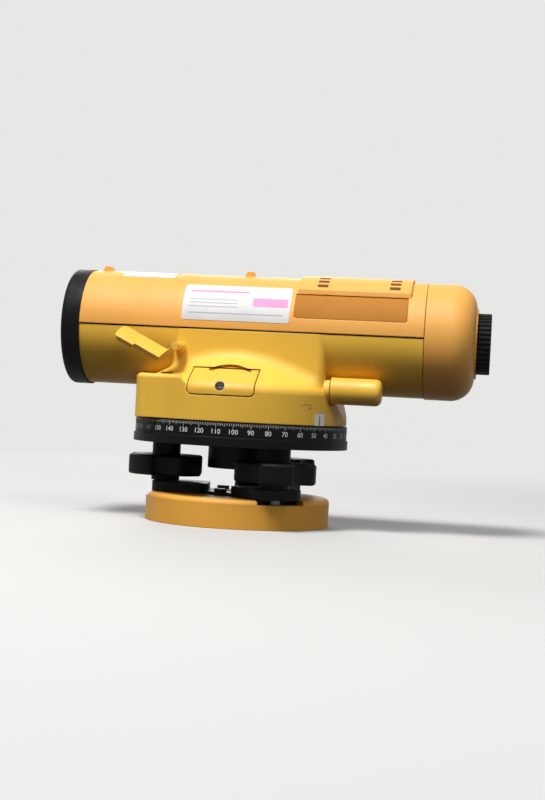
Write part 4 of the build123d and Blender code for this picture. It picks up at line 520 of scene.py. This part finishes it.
@dataclass(frozen=True)
class Turned(Finish):
    """Bare metal with fine lathe lines."""

    name: str
    colour: Colour
    deep: Colour
    rough: float = 0.3
    rough_span: Span = (-0.06, 0.1)
    relief: Relief = Relief(0.12, 0.1 * MM, 0.4 * MM)

    def dress(self, surface: Surface) -> None:
        """Feeds the metal's colour and gloss into a shader.

        Args:
            surface: Surface that is dressed.
        """
        lines = surface.effect(Effect.TURNED, Scale=2600.0)
        low, high = (self.rough + change for change in self.rough_span)
        surface.show(
            Base_Color=surface.mix(lines["Tone"], self.colour, self.deep),
            Roughness=surface.span(lines["Tone"], 0.0, 1.0, low, high), Metallic=1.0,
        )
        surface.relief(lines["Height"], self.relief)


@dataclass(frozen=True)
class Optic(Finish):
    """Polished glass, clear or with the tint of a coating."""

    name: str
    tint: Colour
    coat: Colour = (1.0, 1.0, 1.0)
    coat_weight: float = 0.0
    haze: Colour = (0.9, 0.92, 0.93)
    haze_share: float = 0.25
    haze_rough: float = 0.05
    index: float = 1.52

    def dress(self, surface: Surface) -> None:
        """Feeds the glass's colour and gloss into a shader.

        Args:
            surface: Surface that is dressed.
        """
        tone = surface.effect(Effect.GRAIN, Scale=900.0, Patch_Scale=120.0)["Tone"]
        share = surface.math("MULTIPLY", tone, self.haze_share)
        surface.show(
            Base_Color=surface.mix(share, self.tint, self.haze),
            Roughness=surface.span(tone, 0.5, 1.0, 0.0, self.haze_rough), Transmission_Weight=1.0,
            IOR=self.index, Coat_Weight=self.coat_weight, Coat_Tint=(*self.coat, 1.0),
        )


@dataclass(frozen=True)
class Clear(Finish):
    """Thin clear cover that light passes straight through."""

    name: str
    tint: Colour
    cover: Span = (0.14, 0.18)
    haze: Colour = (0.86, 0.88, 0.88)
    rough: Span = (0.02, 0.08)

    def dress(self, surface: Surface) -> None:
        """Feeds the cover's colour and gloss into a shader.

        Args:
            surface: Surface that is dressed.
        """
        tone = surface.effect(Effect.GRAIN, Scale=700.0, Patch_Scale=140.0)["Tone"]
        surface.show(
            Base_Color=surface.mix(tone, self.tint, self.haze),
            Roughness=surface.span(tone, 0.0, 1.0, *self.rough),
            Alpha=surface.span(tone, 0.0, 1.0, *self.cover),
        )


@dataclass(frozen=True)
class Silvered(Finish):
    """Silvered glass with faint haze."""

    name: str
    colour: Colour
    haze: Colour = (0.78, 0.79, 0.8)
    rough: Span = (0.02, 0.09)

    def dress(self, surface: Surface) -> None:
        """Feeds the mirror's colour and gloss into a shader.

        Args:
            surface: Surface that is dressed.
        """
        tone = surface.effect(Effect.GRAIN, Scale=700.0, Patch_Scale=90.0)["Tone"]
        surface.show(
            Base_Color=surface.mix(tone, self.colour, self.haze),
            Roughness=surface.span(tone, 0.0, 1.0, *self.rough), Metallic=1.0,
        )


@dataclass(frozen=True)
class Printed(Finish):
    """Paper or paint in one ink, with slight fading and fibre."""

    name: str
    colour: Colour
    faded: Colour
    rough: float = 0.55
    rough_change: float = 0.08
    fibres: Span = (0.3, 0.7)
    relief: Relief = Relief(0.06, 0.1 * MM, 0.1 * MM)

    def dress(self, surface: Surface) -> None:
        """Feeds the print's colour and gloss into a shader.

        Args:
            surface: Surface that is dressed.
        """
        fibre = surface.effect(Effect.PEEL, Scale=2500.0, Patch_Scale=90.0)
        low, high = self.rough - self.rough_change, self.rough + self.rough_change
        surface.show(
            Base_Color=surface.mix(fibre["Tone"], self.colour, self.faded),
            Roughness=surface.span(fibre["Height"], *self.fibres, low, high),
        )
        surface.relief(fibre["Height"], self.relief)


class Palette:
    """Every material of the level, made once."""

    SCUFFED: Point = (41.6 * MM, -39.7 * MM, 67.1 * MM)

    def __init__(self) -> None:
        """Makes the materials."""
        slots: dict[Slot, Finish] = {
            Slot.ORANGE: Enamel("orange_enamel", rgb(234, 170, 80), rgb(226, 158, 68), rgb(246, 204, 128)),
            Slot.YELLOW: Enamel(
                "yellow_enamel", rgb(242, 193, 71), rgb(233, 181, 59), rgb(250, 218, 128),
                scuff_at=self.SCUFFED,
            ),
            Slot.YELLOW_PLASTIC: Moulded(
                "yellow_plastic", rgb(238, 190, 68), rgb(228, 176, 56), rgb(248, 216, 124),
                rough=0.42, grain=0.12,
            ),
            Slot.BLACK: Moulded(
                "black_plastic", rgb(14, 15, 17), rgb(9, 10, 11), rgb(48, 48, 50), specular=0.1,
            ),
            Slot.PAINT: Moulded(
                "black_paint", rgb(14, 14, 16), rgb(10, 10, 11), rgb(54, 52, 50),
                rough=0.45, grain=0.12, grain_scale=3200.0, specular=0.12,
            ),
            Slot.STEEL: Turned("turned_steel", rgb(196, 198, 202), rgb(160, 162, 166)),
            Slot.BRONZE: Turned("turned_bronze", rgb(208, 168, 104), rgb(176, 134, 76)),
            Slot.ALUMINIUM: Turned("machined_aluminium", rgb(200, 202, 206), rgb(170, 172, 176), 0.38),
            Slot.GLASS: Optic("optical_glass", rgb(246, 250, 250)),
            Slot.MIRROR: Silvered("silvered_glass", rgb(236, 238, 240)),
            Slot.WHITE: Printed("white_plastic", rgb(242, 242, 238), rgb(230, 229, 224), 0.45),
        }
        self.finishes = {slot: finish.material() for slot, finish in slots.items()}
        self.base = Enamel("base_enamel", rgb(246, 180, 72), rgb(238, 168, 60), rgb(250, 208, 124)).material()
        self.panel = Enamel(
            "panel_enamel", rgb(182, 120, 42), rgb(170, 108, 34), rgb(204, 148, 72),
            gloss=0.55, wear=0.1, dust=0.0, specular=0.12,
        ).material()
        # Louvre marks: dark brown painted shade that stands for the shade inside the pad's recessed louvre
        # slots.
        self.louvre = Enamel(
            "louvre_painted_shade", rgb(110, 68, 32), rgb(94, 56, 24), rgb(140, 92, 50),
            gloss=0.5, wear=0.1, dust=0.0, specular=0.15,
        ).material()
        self.blackened = Turned("blackened_steel", rgb(98, 98, 104), rgb(72, 72, 77), 0.32).material()
        self.coated = Optic("coated_glass", rgb(232, 246, 240), rgb(120, 90, 200), 0.6).material()
        self.spirit = Printed("yellow_spirit", rgb(204, 212, 92), rgb(192, 202, 78), 0.2).material()
        self.air = Printed("air_bubble", rgb(232, 236, 190), rgb(226, 231, 178), 0.16).material()
        # Dark olive ring at the air bubble's rim: painted shade for the dark edge that refraction gives the
        # bubble.
        self.air_edge = Printed("bubble_rim_shade", rgb(132, 138, 48), rgb(120, 126, 42), 0.3).material()
        self.window = Clear("bubble_window", rgb(240, 246, 240)).material()
        self.paper = Printed("label_paper", rgb(212, 212, 212), rgb(205, 205, 204)).material()
        self.magenta = Printed("label_magenta", rgb(228, 138, 190), rgb(222, 126, 182)).material()
        self.pale_ink = Printed("pale_ink", rgb(164, 162, 180), rgb(174, 172, 190)).material()
        self.white_ink = Printed("white_ink", rgb(244, 245, 244), rgb(226, 228, 226), 0.5).material()
        self.black_ink = Printed("black_ink", rgb(24, 24, 25), rgb(34, 34, 35), 0.5).material()

    def dress(self, nodes: dict[str, Object], slots: dict[str, str]) -> None:
        """Gives every solid of the frame its finish.

        Args:
            nodes: The frame's objects by node name.
            slots: Material slot of each node.
        """
        own = {"base_plate": self.base, "objective_cell": self.finishes[Slot.PAINT]}
        own |= {name: self.coated for name in ("objective_crown", "eyepiece_lenses")}
        own |= {name: self.blackened for name in nodes if name.startswith("foot_screw_")}
        own["cover_screw"] = self.blackened
        for name, node in nodes.items():
            material = own.get(name, self.finishes[Slot(slots[name])])
            node.data.materials.clear()
            node.data.materials.append(material)
            LOG.info("solid %s in %s", name, material.name)


def add_piece(
    name: str, points: Sequence[Point], faces: Sequence[Face], material: Material, body: Body,
    smooth: bool = True,
) -> Object:
    """Makes a mesh piece that rides on a body.

    Args:
        name: Name of the piece.
        points: Corner points in metres.
        faces: Corner indices of each face.
        material: Material of the piece.
        body: Body that the piece rides on.
        smooth: Whether the faces are shaded smooth.

    Returns:
        The new object.
    """
    mesh = bpy.data.meshes.new(name)
    mesh.from_pydata(points, [], faces)
    mesh.validate()
    mesh.update()
    if smooth:
        mesh.shade_smooth()
        mesh.set_sharp_from_angle(angle=SHARP_ANGLE)
    mesh.materials.append(material)
    piece = bpy.data.objects.new(name, mesh)
    bpy.context.scene.collection.objects.link(piece)
    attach(piece, body.value)
    LOG.info("piece %s on %s: %d faces", name, body.value, len(mesh.polygons))
    return piece


def grid_faces(rows: int, columns: int, start: int = 0) -> list[Face]:
    """Faces of a grid of points.

    Args:
        rows: Number of points down.
        columns: Number of points across.
        start: Index of the grid's first point.

    Returns:
        The grid's faces.
    """
    faces = []
    for row in range(rows - 1):
        for column in range(columns - 1):
            first = start + row * columns + column
            faces.append((first, first + 1, first + columns + 1, first + columns))
    return faces


def shell_faces(rows: int, columns: int) -> list[Face]:
    """Faces of a closed thin shell made of an outer grid followed by an inner one.

    Args:
        rows: Number of points down each grid.
        columns: Number of points across each grid.

    Returns:
        Both grids' faces and the border between them.
    """
    size = rows * columns
    inner = [tuple(reversed(face)) for face in grid_faces(rows, columns, size)]
    border = list(range(columns))
    border += [row * columns + columns - 1 for row in range(1, rows)]
    border += [size - 1 - column for column in range(1, columns)]
    border += [row * columns for row in range(rows - 2, 0, -1)]
    rim = []
    for index, point in enumerate(border):
        after = border[(index + 1) % len(border)]
        rim.append((point, point + size, after + size, after))
    return grid_faces(rows, columns) + inner + rim


@dataclass
class TubeSurface:
    """Places points and thin plates on the telescope's round outside."""

    axis_z: float
    radius: float
    rows: int = 17
    columns: int = 25

    def point(self, x: float, angle: float, height: float) -> Point:
        """Point on the near side of the tube.

        Args:
            x: Place along the tube in metres.
            angle: Angle above the horizontal on the near side, in degrees.
            height: Height above the surface in metres.

        Returns:
            The point.
        """
        turn = math.radians(angle)
        reach = self.radius + height
        return x, -reach * math.cos(turn), self.axis_z + reach * math.sin(turn)

    def patch(
        self, name: str, ends: Span, edges: Span, layer: Span, material: Material,
        corner: float = 0.0,
    ) -> None:
        """Makes a thin curved plate on the tube.

        Args:
            name: Name of the piece.
            ends: Its two ends along the tube, in metres.
            edges: Its two edges round the tube, in degrees.
            layer: Heights of its underside and its top, in metres.
            material: Its material.
            corner: Radius of its rounded corners, in metres.
        """
        points: list[Point] = []
        low_edge, high_edge = edges
        arc = math.radians(high_edge - low_edge) * self.radius
        for height in reversed(layer):
            for row in range(self.rows):
                share = row / (self.rows - 1)
                angle = high_edge + (low_edge - high_edge) * share
                inside = min(share, 1.0 - share) * arc
                inset = 0.0
                if inside < corner:
                    inset = corner - math.sqrt(max(corner ** 2 - (corner - inside) ** 2, 0.0))
                start, end = ends[0] + inset, ends[1] - inset
                for column in range(self.columns):
                    x = start + (end - start) * column / (self.columns - 1)
                    points.append(self.point(x, angle, height))
        faces = shell_faces(self.rows, self.columns)
        add_piece(name, points, faces, material, Body.TELESCOPE)


@dataclass
class TelescopeMarks:
    """Blank labels, the bare panel and the louvre marks of painted shade on the telescope's cover."""

    palette: Palette
    axis_z: float
    radius: float = 31.3 * MM
    pad_rise: float = 1.6 * MM
    label_ends: Span = (-30.3 * MM, 27.8 * MM)
    label_edges: Span = (9.0, 51.0)
    top_ends: Span = (-68.0 * MM, -38.6 * MM)
    top_edges: Span = (62.6, 104.0)
    paper_layer: Span = (-0.05 * MM, 0.12 * MM)
    paper_corner: float = 0.8 * MM
    bar_ends: Span = (7.6 * MM, 26.4 * MM)
    bar_edges: Span = (25.0, 34.5)
    bar_layer: Span = (0.05 * MM, 0.15 * MM)
    ink_layer: Span = (0.05 * MM, 0.14 * MM)
    line_ends: tuple[float, float, float] = (-27.0 * MM, -0.5 * MM, 24.0 * MM)
    line_angles: tuple[float, ...] = (31.5, 27.5, 23.5, 16.5)
    line_half_angle: float = 0.55
    heading_edges: Span = (40.6, 42.8)
    heading_share: float = 0.62
    panel_ends: Span = (30.3 * MM, 89.7 * MM)
    panel_edges: Span = (15.5, 42.5)
    panel_layer: Span = (-0.7 * MM, -0.35 * MM)
    panel_corner: float = 1.0 * MM
    rib_places: Span = (43.6 * MM, 82.1 * MM)
    rib_angles: tuple[float, ...] = (53.5, 62.0, 71.0)
    rib_half_angle: float = 2.3
    rib_length: float = 5.6 * MM
    rib_layer: Span = (-0.1 * MM, 0.12 * MM)

    def build(self) -> None:
        """Makes the labels, the panel's skin and the louvre marks of painted shade."""
        tube = TubeSurface(self.axis_z, self.radius)
        self._side_label(tube)
        tube.patch(
            "top_label", self.top_ends, self.top_edges, self.paper_layer, self.palette.paper,
            self.paper_corner,
        )
        tube.patch(
            "name_panel", self.panel_ends, self.panel_edges, self.panel_layer, self.palette.panel,
            self.panel_corner,
        )
        self._ribs()

    def _side_label(self, tube: TubeSurface) -> None:
        """Makes the blank side label with its bar and ruled lines.

        Args:
            tube: Surface that the label lies on.
        """
        inks = self.palette
        tube.patch(
            "side_label", self.label_ends, self.label_edges, self.paper_layer, inks.paper,
            self.paper_corner,
        )
        tube.patch("side_label_bar", self.bar_ends, self.bar_edges, self.bar_layer, inks.magenta)
        start, middle, end = self.line_ends
        heading = (start, start + self.heading_share * (end - start))
        tube.patch(
            "side_label_heading", heading, self.heading_edges, self.ink_layer, inks.magenta,
        )
        last = len(self.line_angles) - 1
        for step, angle in enumerate(self.line_angles):
            ends = (start, end if step == last else middle)
            edges = (angle - self.line_half_angle, angle + self.line_half_angle)
            tube.patch(f"side_label_line_{step}", ends, edges, self.ink_layer, inks.pale_ink)

    def _ribs(self) -> None:
        """Makes the two rows of louvre marks on the raised pad, dark patches of painted shade for its
        recessed slots.
        """
        pad = TubeSurface(self.axis_z, self.radius + self.pad_rise)
        half = self.rib_length / 2
        for side, place in enumerate(self.rib_places):
            for step, angle in enumerate(self.rib_angles):
                edges = (angle - self.rib_half_angle, angle + self.rib_half_angle)
                # Each mark is a thin dark patch of painted shade, not a raised rib.
                pad.patch(
                    f"pad_louvre_shade_{side}_{step}", (place - half, place + half), edges, self.rib_layer,
                    self.palette.louvre,
                )


@dataclass
class GraduatedCircle:
    """White graduations and numbers on the horizontal circle."""

    palette: Palette
    top: float
    radius: float = 58.0 * MM
    ink: float = 0.03 * MM
    tick_width: float = 0.16 * MM
    tick_lengths: tuple[float, float, float] = (1.3 * MM, 1.9 * MM, 2.5 * MM)
    tick_inset: float = 0.35 * MM
    number_height: float = 2.5 * MM
    number_drop: float = 4.8 * MM
    divisions: int = 400
    number_step: int = 10
    half_step: int = 5
    zero_turn: float = math.radians(5.8)

    def _turn(self, mark: int) -> float:
        """Direction of a mark in radians; the marks run clockwise."""
        return self.zero_turn - 2 * math.pi * mark / self.divisions

    def _point(self, angle: float, across: float, z: float) -> Point:
        """Point just outside the band.

        Args:
            angle: Direction from the axis in radians.
            across: Distance along the band in metres.
            z: Height in metres.

        Returns:
            The point.
        """
        reach = self.radius + self.ink
        turn = angle + across / self.radius
        return reach * math.cos(turn), reach * math.sin(turn), z

    def _ticks(self) -> None:
        """Makes a mark at each division, longer at each fifth and tenth."""
        points: list[Point] = []
        faces: list[Face] = []
        half = self.tick_width / 2
        high = self.top - self.tick_inset
        short, middling, long = self.tick_lengths
        for mark in range(self.divisions):
            length = middling if mark % self.half_step == 0 else short
            if mark % self.number_step == 0:
                length = long
            angle = self._turn(mark)
            start = len(points)
            for across, z in ((-half, high - length), (half, high - length), (half, high), (-half, high)):
                points.append(self._point(angle, across, z))
            faces.append((start, start + 1, start + 2, start + 3))
        add_piece("circle_ticks", points, faces, self.palette.white_ink, Body.CIRCLE, False)

    def _numbers(self) -> None:
        """Makes a number at each tenth division, wrapped on the band."""
        points: list[Point] = []
        faces: list[Face] = []
        middle = self.top - self.number_drop
        for mark in range(0, self.divisions, self.number_step):
            mesh = number_mesh(str(mark), self.number_height)
            start = len(points)
            angle = self._turn(mark)
            for vertex in mesh.vertices:
                points.append(self._point(angle, vertex.co.x, middle + vertex.co.y))
            for polygon in mesh.polygons:
                faces.append(tuple(start + index for index in polygon.vertices))
            bpy.data.meshes.remove(mesh)
        add_piece("circle_numbers", points, faces, self.palette.white_ink, Body.CIRCLE, False)

    def build(self) -> None:
        """Makes the marks and the numbers."""
        self._ticks()
        self._numbers()


def number_mesh(text: str, height: float) -> Mesh:
    """Flat mesh of a number, centred on its own middle.

    Args:
        text: The number's digits.
        height: Height of the digits in metres.

    Returns:
        The new mesh.
    """
    curve = bpy.data.curves.new("number", "FONT")
    curve.body = text
    curve.size = height / DIGIT_SHARE
    curve.align_x = "CENTER"
    curve.align_y = "CENTER"
    curve.resolution_u = DIGIT_STEPS
    carrier = bpy.data.objects.new("number", curve)
    bpy.context.scene.collection.objects.link(carrier)
    graph = bpy.context.evaluated_depsgraph_get()
    mesh = bpy.data.meshes.new_from_object(carrier.evaluated_get(graph))
    bpy.data.objects.remove(carrier)
    bpy.data.curves.remove(curve)
    return mesh


def lathe(
    name: str, profile: Sequence[Span], centre: Point, material: Material,
    segments: int = 48,
) -> Object:
    """Makes a piece of the telescope that is turned about an upright axis.

    Args:
        name: Name of the piece.
        profile: Points of radius and height in metres, from the axis or back to the start.
        centre: Place of the axis and of height zero.
        material: Its material.
        segments: Number of steps round the axis.

    Returns:
        The new piece.
    """
    points: list[Point] = []
    faces: list[Face] = []
    count = len(profile)
    for segment in range(segments):
        turn = 2 * math.pi * segment / segments
        for radius, height in profile:
            reach = max(radius, AXIS_REACH)
            x, y = centre[0] + reach * math.cos(turn), centre[1] + reach * math.sin(turn)
            points.append((x, y, centre[2] + height))
        here, after = segment * count, (segment + 1) % segments * count
        for index in range(count - 1):
            faces.append((here + index, after + index, after + index + 1, here + index + 1))
    return add_piece(name, points, faces, material, Body.TELESCOPE)


@dataclass
class BubbleUnit:
    """Circular bubble: spirit, air bubble with a rim of painted shade, and centring ring under a domed
    window.
    """

    palette: Palette
    ring_radius: float = 3.1 * MM
    ring_width: float = 0.3 * MM
    air_radius: float = 2.3 * MM
    air_rise: float = 0.22 * MM
    air_steps: int = 8
    edge_width: float = 0.16 * MM
    print_rise: float = 0.04 * MM
    level: float = 0.84
    dome_shares: tuple[float, ...] = (0.0, 0.3, 0.55, 0.75, 0.88, 0.96)
    spirit_width: float = 0.96
    spirit_floor: float = 0.06

    def _ring(self, name: str, inside: float, width: float, centre: Point, material: Material) -> None:
        """Makes a thin flat ring on the spirit.

        Args:
            name: Name of the piece.
            inside: Its inner radius in metres.
            width: Its width in metres.
            centre: Its middle, on the spirit's top.
            material: Its material.
        """
        outside, top = inside + width, self.print_rise
        profile = [(inside, 0.0), (outside, 0.0), (outside, top), (inside, top), (inside, 0.0)]
        lathe(name, profile, centre, material)

    def build(self) -> None:
        """Makes the vial's pieces in place of its plain solid."""
        low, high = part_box("bubble_vial")
        middle = ((low.x + high.x) / 2, (low.y + high.y) / 2)
        radius = (high.x - low.x) / 2
        rise = high.z - low.z
        flat = rise * self.level
        bulge = rise - flat
        dome = [(radius * share, flat + bulge * math.sqrt(1.0 - share ** 2)) for share in self.dome_shares]
        dome += [(radius, flat), (radius, 0.0), (0.0, 0.0)]
        window = lathe("bubble_window", dome, (*middle, low.z), self.palette.window)
        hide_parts("bubble_vial")
        inner, floor = radius * self.spirit_width, rise * self.spirit_floor
        spirit = [(0.0, flat), (inner, flat), (inner, floor), (0.0, floor)]
        lathe("bubble_spirit", spirit, (*middle, low.z), self.palette.spirit)
        surface = (*middle, low.z + flat)
        turns = [math.pi / 2 * step / self.air_steps for step in range(self.air_steps + 1)]
        air = [(self.air_radius * math.sin(turn), self.air_rise * math.cos(turn)) for turn in turns]
        lathe("bubble_air", air, surface, self.palette.air)
        # The ring round the bubble is painted shade of its refracting rim, not print.
        self._ring("bubble_rim_shade", self.air_radius, self.edge_width, surface, self.palette.air_edge)
        self._ring("bubble_ring", self.ring_radius, self.ring_width, surface, self.palette.black_ink)


@dataclass
class IndexMark:
    """Black line on the white index plate."""

    palette: Palette
    width: float = 0.7 * MM
    gaps: Span = (0.3 * MM, 1.4 * MM)
    lift: float = 0.04 * MM

    def build(self) -> None:
        """Makes the line on the plate's outer face."""
        low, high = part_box("index_plate")
        out = Vector(((low.x + high.x) / 2, (low.y + high.y) / 2, 0.0)).normalized()
        along = Vector((-out.y, out.x, 0.0))
        reach = max(vertex.co.dot(out) for vertex in frame["nodes"]["index_plate"].data.vertices)
        face = out * (reach + self.lift)
        half = along * (self.width / 2)
        points = []
        for z in (low.z + self.gaps[0], high.z - self.gaps[1]):
            for side in (-half, half):
                points.append((face.x + side.x, face.y + side.y, z))
        faces = [(0, 1, 3, 2)]
        add_piece("index_line", points, faces, self.palette.black_ink, Body.TELESCOPE, False)


@dataclass(frozen=True)
class Lamp:
    """Soft square lamp: its place and side in metres, its power in watts and its colour."""

    name: str
    place: Point
    size: float
    watts: float
    tint: Colour

    def build(self, aim: Point) -> None:
        """Hangs the lamp.

        Args:
            aim: Where it points.
        """
        light = bpy.data.lights.new(self.name, "AREA")
        light.size = self.size
        light.energy = self.watts
        light.color = self.tint
        lamp = bpy.data.objects.new(self.name, light)
        lamp.location = self.place
        lamp.rotation_mode = "QUATERNION"
        lamp.rotation_quaternion = (Vector(aim) - Vector(self.place)).to_track_quat("-Z", "Y")
        lamp.visible_camera = False
        bpy.context.scene.collection.objects.link(lamp)


@dataclass
class Studio:
    """Pale floor, soft lamps and the camera at the photograph's viewing angle."""

    camera_place: Point = (0.1403, -0.7957, 0.068)
    camera_aim: Point = (0.0165, 0.0, 0.068)
    roll: float = 3.0
    lens: float = 66.0
    sensor: float = 36.0
    clip_start: float = 0.01
    lamp_aim: Point = (0.0, 0.0, 0.08)
    lamps: tuple[Lamp, ...] = (
        Lamp("key", (-0.27, -0.56, 1.3), 0.4, 22.5, (1.0, 0.985, 0.96)),
        Lamp("rim", (-0.35, 1.0, 0.5), 0.6, 6.0, (1.0, 1.0, 1.0)),
        Lamp("fill", (0.5, -0.8, 1.1), 0.7, 5.2, (1.0, 0.99, 0.97)),
    )
    backdrop: Colour = (0.80, 0.80, 0.795)
    floor_colour: Colour = (0.54, 0.54, 0.535)
    floor_mottle: float = 1.02
    floor_patches: float = 3.0
    floor_bounce: Colour = (0.008, 0.0075, 0.007)
    floor_rough: float = 0.9
    floor_specular: float = 0.1
    floor_reach: float = 6.0
    floor_fade: Span = (0.25, 0.9)
    sky_heights: Span = (-0.1, 1.0)
    sky_levels: Span = (0.02, 0.31)
    sky_tint: Colour = (0.93, 0.96, 1.0)

    @staticmethod
    def _shown(graph: Graph) -> NodeSocket:
        """Makes the mask of rays that show the background.

        Args:
            graph: Graph that the mask is added to.

        Returns:
            Socket that is 1 for rays of the camera, of gloss and through glass.
        """
        path = graph.add("ShaderNodeLightPath").outputs
        shown = graph.math("MAXIMUM", path["Is Camera Ray"], path["Is Glossy Ray"])
        return graph.math("MAXIMUM", shown, path["Is Transmission Ray"])

    @staticmethod
    def _blend(graph: Graph, factor: NodeSocket, first: Node, second: Node, end: Node) -> None:
        """Joins two shaders and leads them to the output.

        Args:
            graph: Graph of the shaders.
            factor: Socket that chooses the second shader.
            first: First shader.
            second: Second shader.
            end: Output node.
        """
        blend = graph.add("ShaderNodeMixShader")
        for index, socket in enumerate((factor, first.outputs[0], second.outputs[0])):
            graph.fill(blend.inputs[index], socket)
        graph.put(end, Surface=blend.outputs[0])

    def _floor(self) -> None:
        """Makes the pale floor, which keeps the shadow and runs out into the backdrop's tone."""
        mesh = bpy.data.meshes.new("floor")
        far = self.floor_reach
        corners = [(-far, -far, 0.0), (far, -far, 0.0), (far, far, 0.0), (-far, far, 0.0)]
        mesh.from_pydata(corners, [], [(0, 1, 2, 3)])
        surface = Surface("pale_floor")
        shown = self._shown(surface)
        mottled = tuple(self.floor_mottle * value for value in self.floor_colour)
        patches = surface.noise(surface.place(), self.floor_patches, 3.0)
        pale = surface.mix(patches, self.floor_colour, mottled)
        surface.show(
            Base_Color=surface.mix(shown, self.floor_bounce, pale), Roughness=self.floor_rough,
            Specular_IOR_Level=self.floor_specular,
        )
        glow = surface.add("ShaderNodeEmission", Color=(*self.backdrop, 1.0), Strength=1.0)
        away = surface.vector("LENGTH", surface.place())["Value"]
        fade = surface.span(away, *self.floor_fade)
        fade.node.interpolation_type = "SMOOTHSTEP"
        share = surface.math("MULTIPLY", fade, shown)
        self._blend(surface, share, surface.shader, glow, surface.output)
        mesh.materials.append(surface.material)
        floor = bpy.data.objects.new("floor", mesh)
        bpy.context.scene.collection.objects.link(floor)

    def _world(self) -> None:
        """Lights the scene softly from above and shows the backdrop behind it."""
        world = bpy.data.worlds.new("studio")
        bpy.context.scene.world = world
        world.use_nodes = True
        graph = Graph(world.node_tree)
        graph.tree.nodes.clear()
        output = graph.add("ShaderNodeOutputWorld")
        way = graph.add("ShaderNodeTexCoord").outputs["Generated"]
        up = graph.add("ShaderNodeSeparateXYZ", Vector=way).outputs["Z"]
        level = graph.span(up, *self.sky_heights, *self.sky_levels)
        soft = graph.add("ShaderNodeBackground", Color=(*self.sky_tint, 1.0), Strength=level)
        plain = graph.add("ShaderNodeBackground", Color=(*self.backdrop, 1.0), Strength=1.0)
        self._blend(graph, self._shown(graph), soft, plain, output)

    def _camera(self) -> None:
        """Makes the camera, rolled as in the photograph."""
        data = bpy.data.cameras.new("camera")
        data.lens = self.lens
        data.sensor_width = self.sensor
        data.clip_start = self.clip_start
        camera = bpy.data.objects.new("camera", data)
        camera.location = self.camera_place
        camera.rotation_mode = "QUATERNION"
        look = (Vector(self.camera_aim) - Vector(self.camera_place)).to_track_quat("-Z", "Y")
        turn = Matrix.Rotation(math.radians(self.roll), 3, "Z").to_quaternion()
        camera.rotation_quaternion = look @ turn
        bpy.context.scene.collection.objects.link(camera)
        bpy.context.scene.camera = camera

    def build(self) -> None:
        """Makes the floor, the world, the lamps and the camera."""
        bpy.context.scene.view_settings.view_transform = "Standard"
        self._floor()
        self._world()
        for lamp in self.lamps:
            lamp.build(self.lamp_aim)
        self._camera()


def main() -> None:
    """Dresses the level and builds its studio."""
    logging.basicConfig(level=logging.INFO, format="%(message)s")
    palette = Palette()
    slots = {part["node"]: part["material_slot"] for part in frame["record"]["subparts"]}
    palette.dress(frame["nodes"], slots)
    low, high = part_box("objective_hood")
    axis_z = (low.z + high.z) / 2
    TelescopeMarks(palette, axis_z).build()
    circle_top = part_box("horizontal_circle")[1].z
    GraduatedCircle(palette, circle_top).build()
    BubbleUnit(palette).build()
    IndexMark(palette).build()
    Studio().build()


if __name__ == "__main__":
    main()
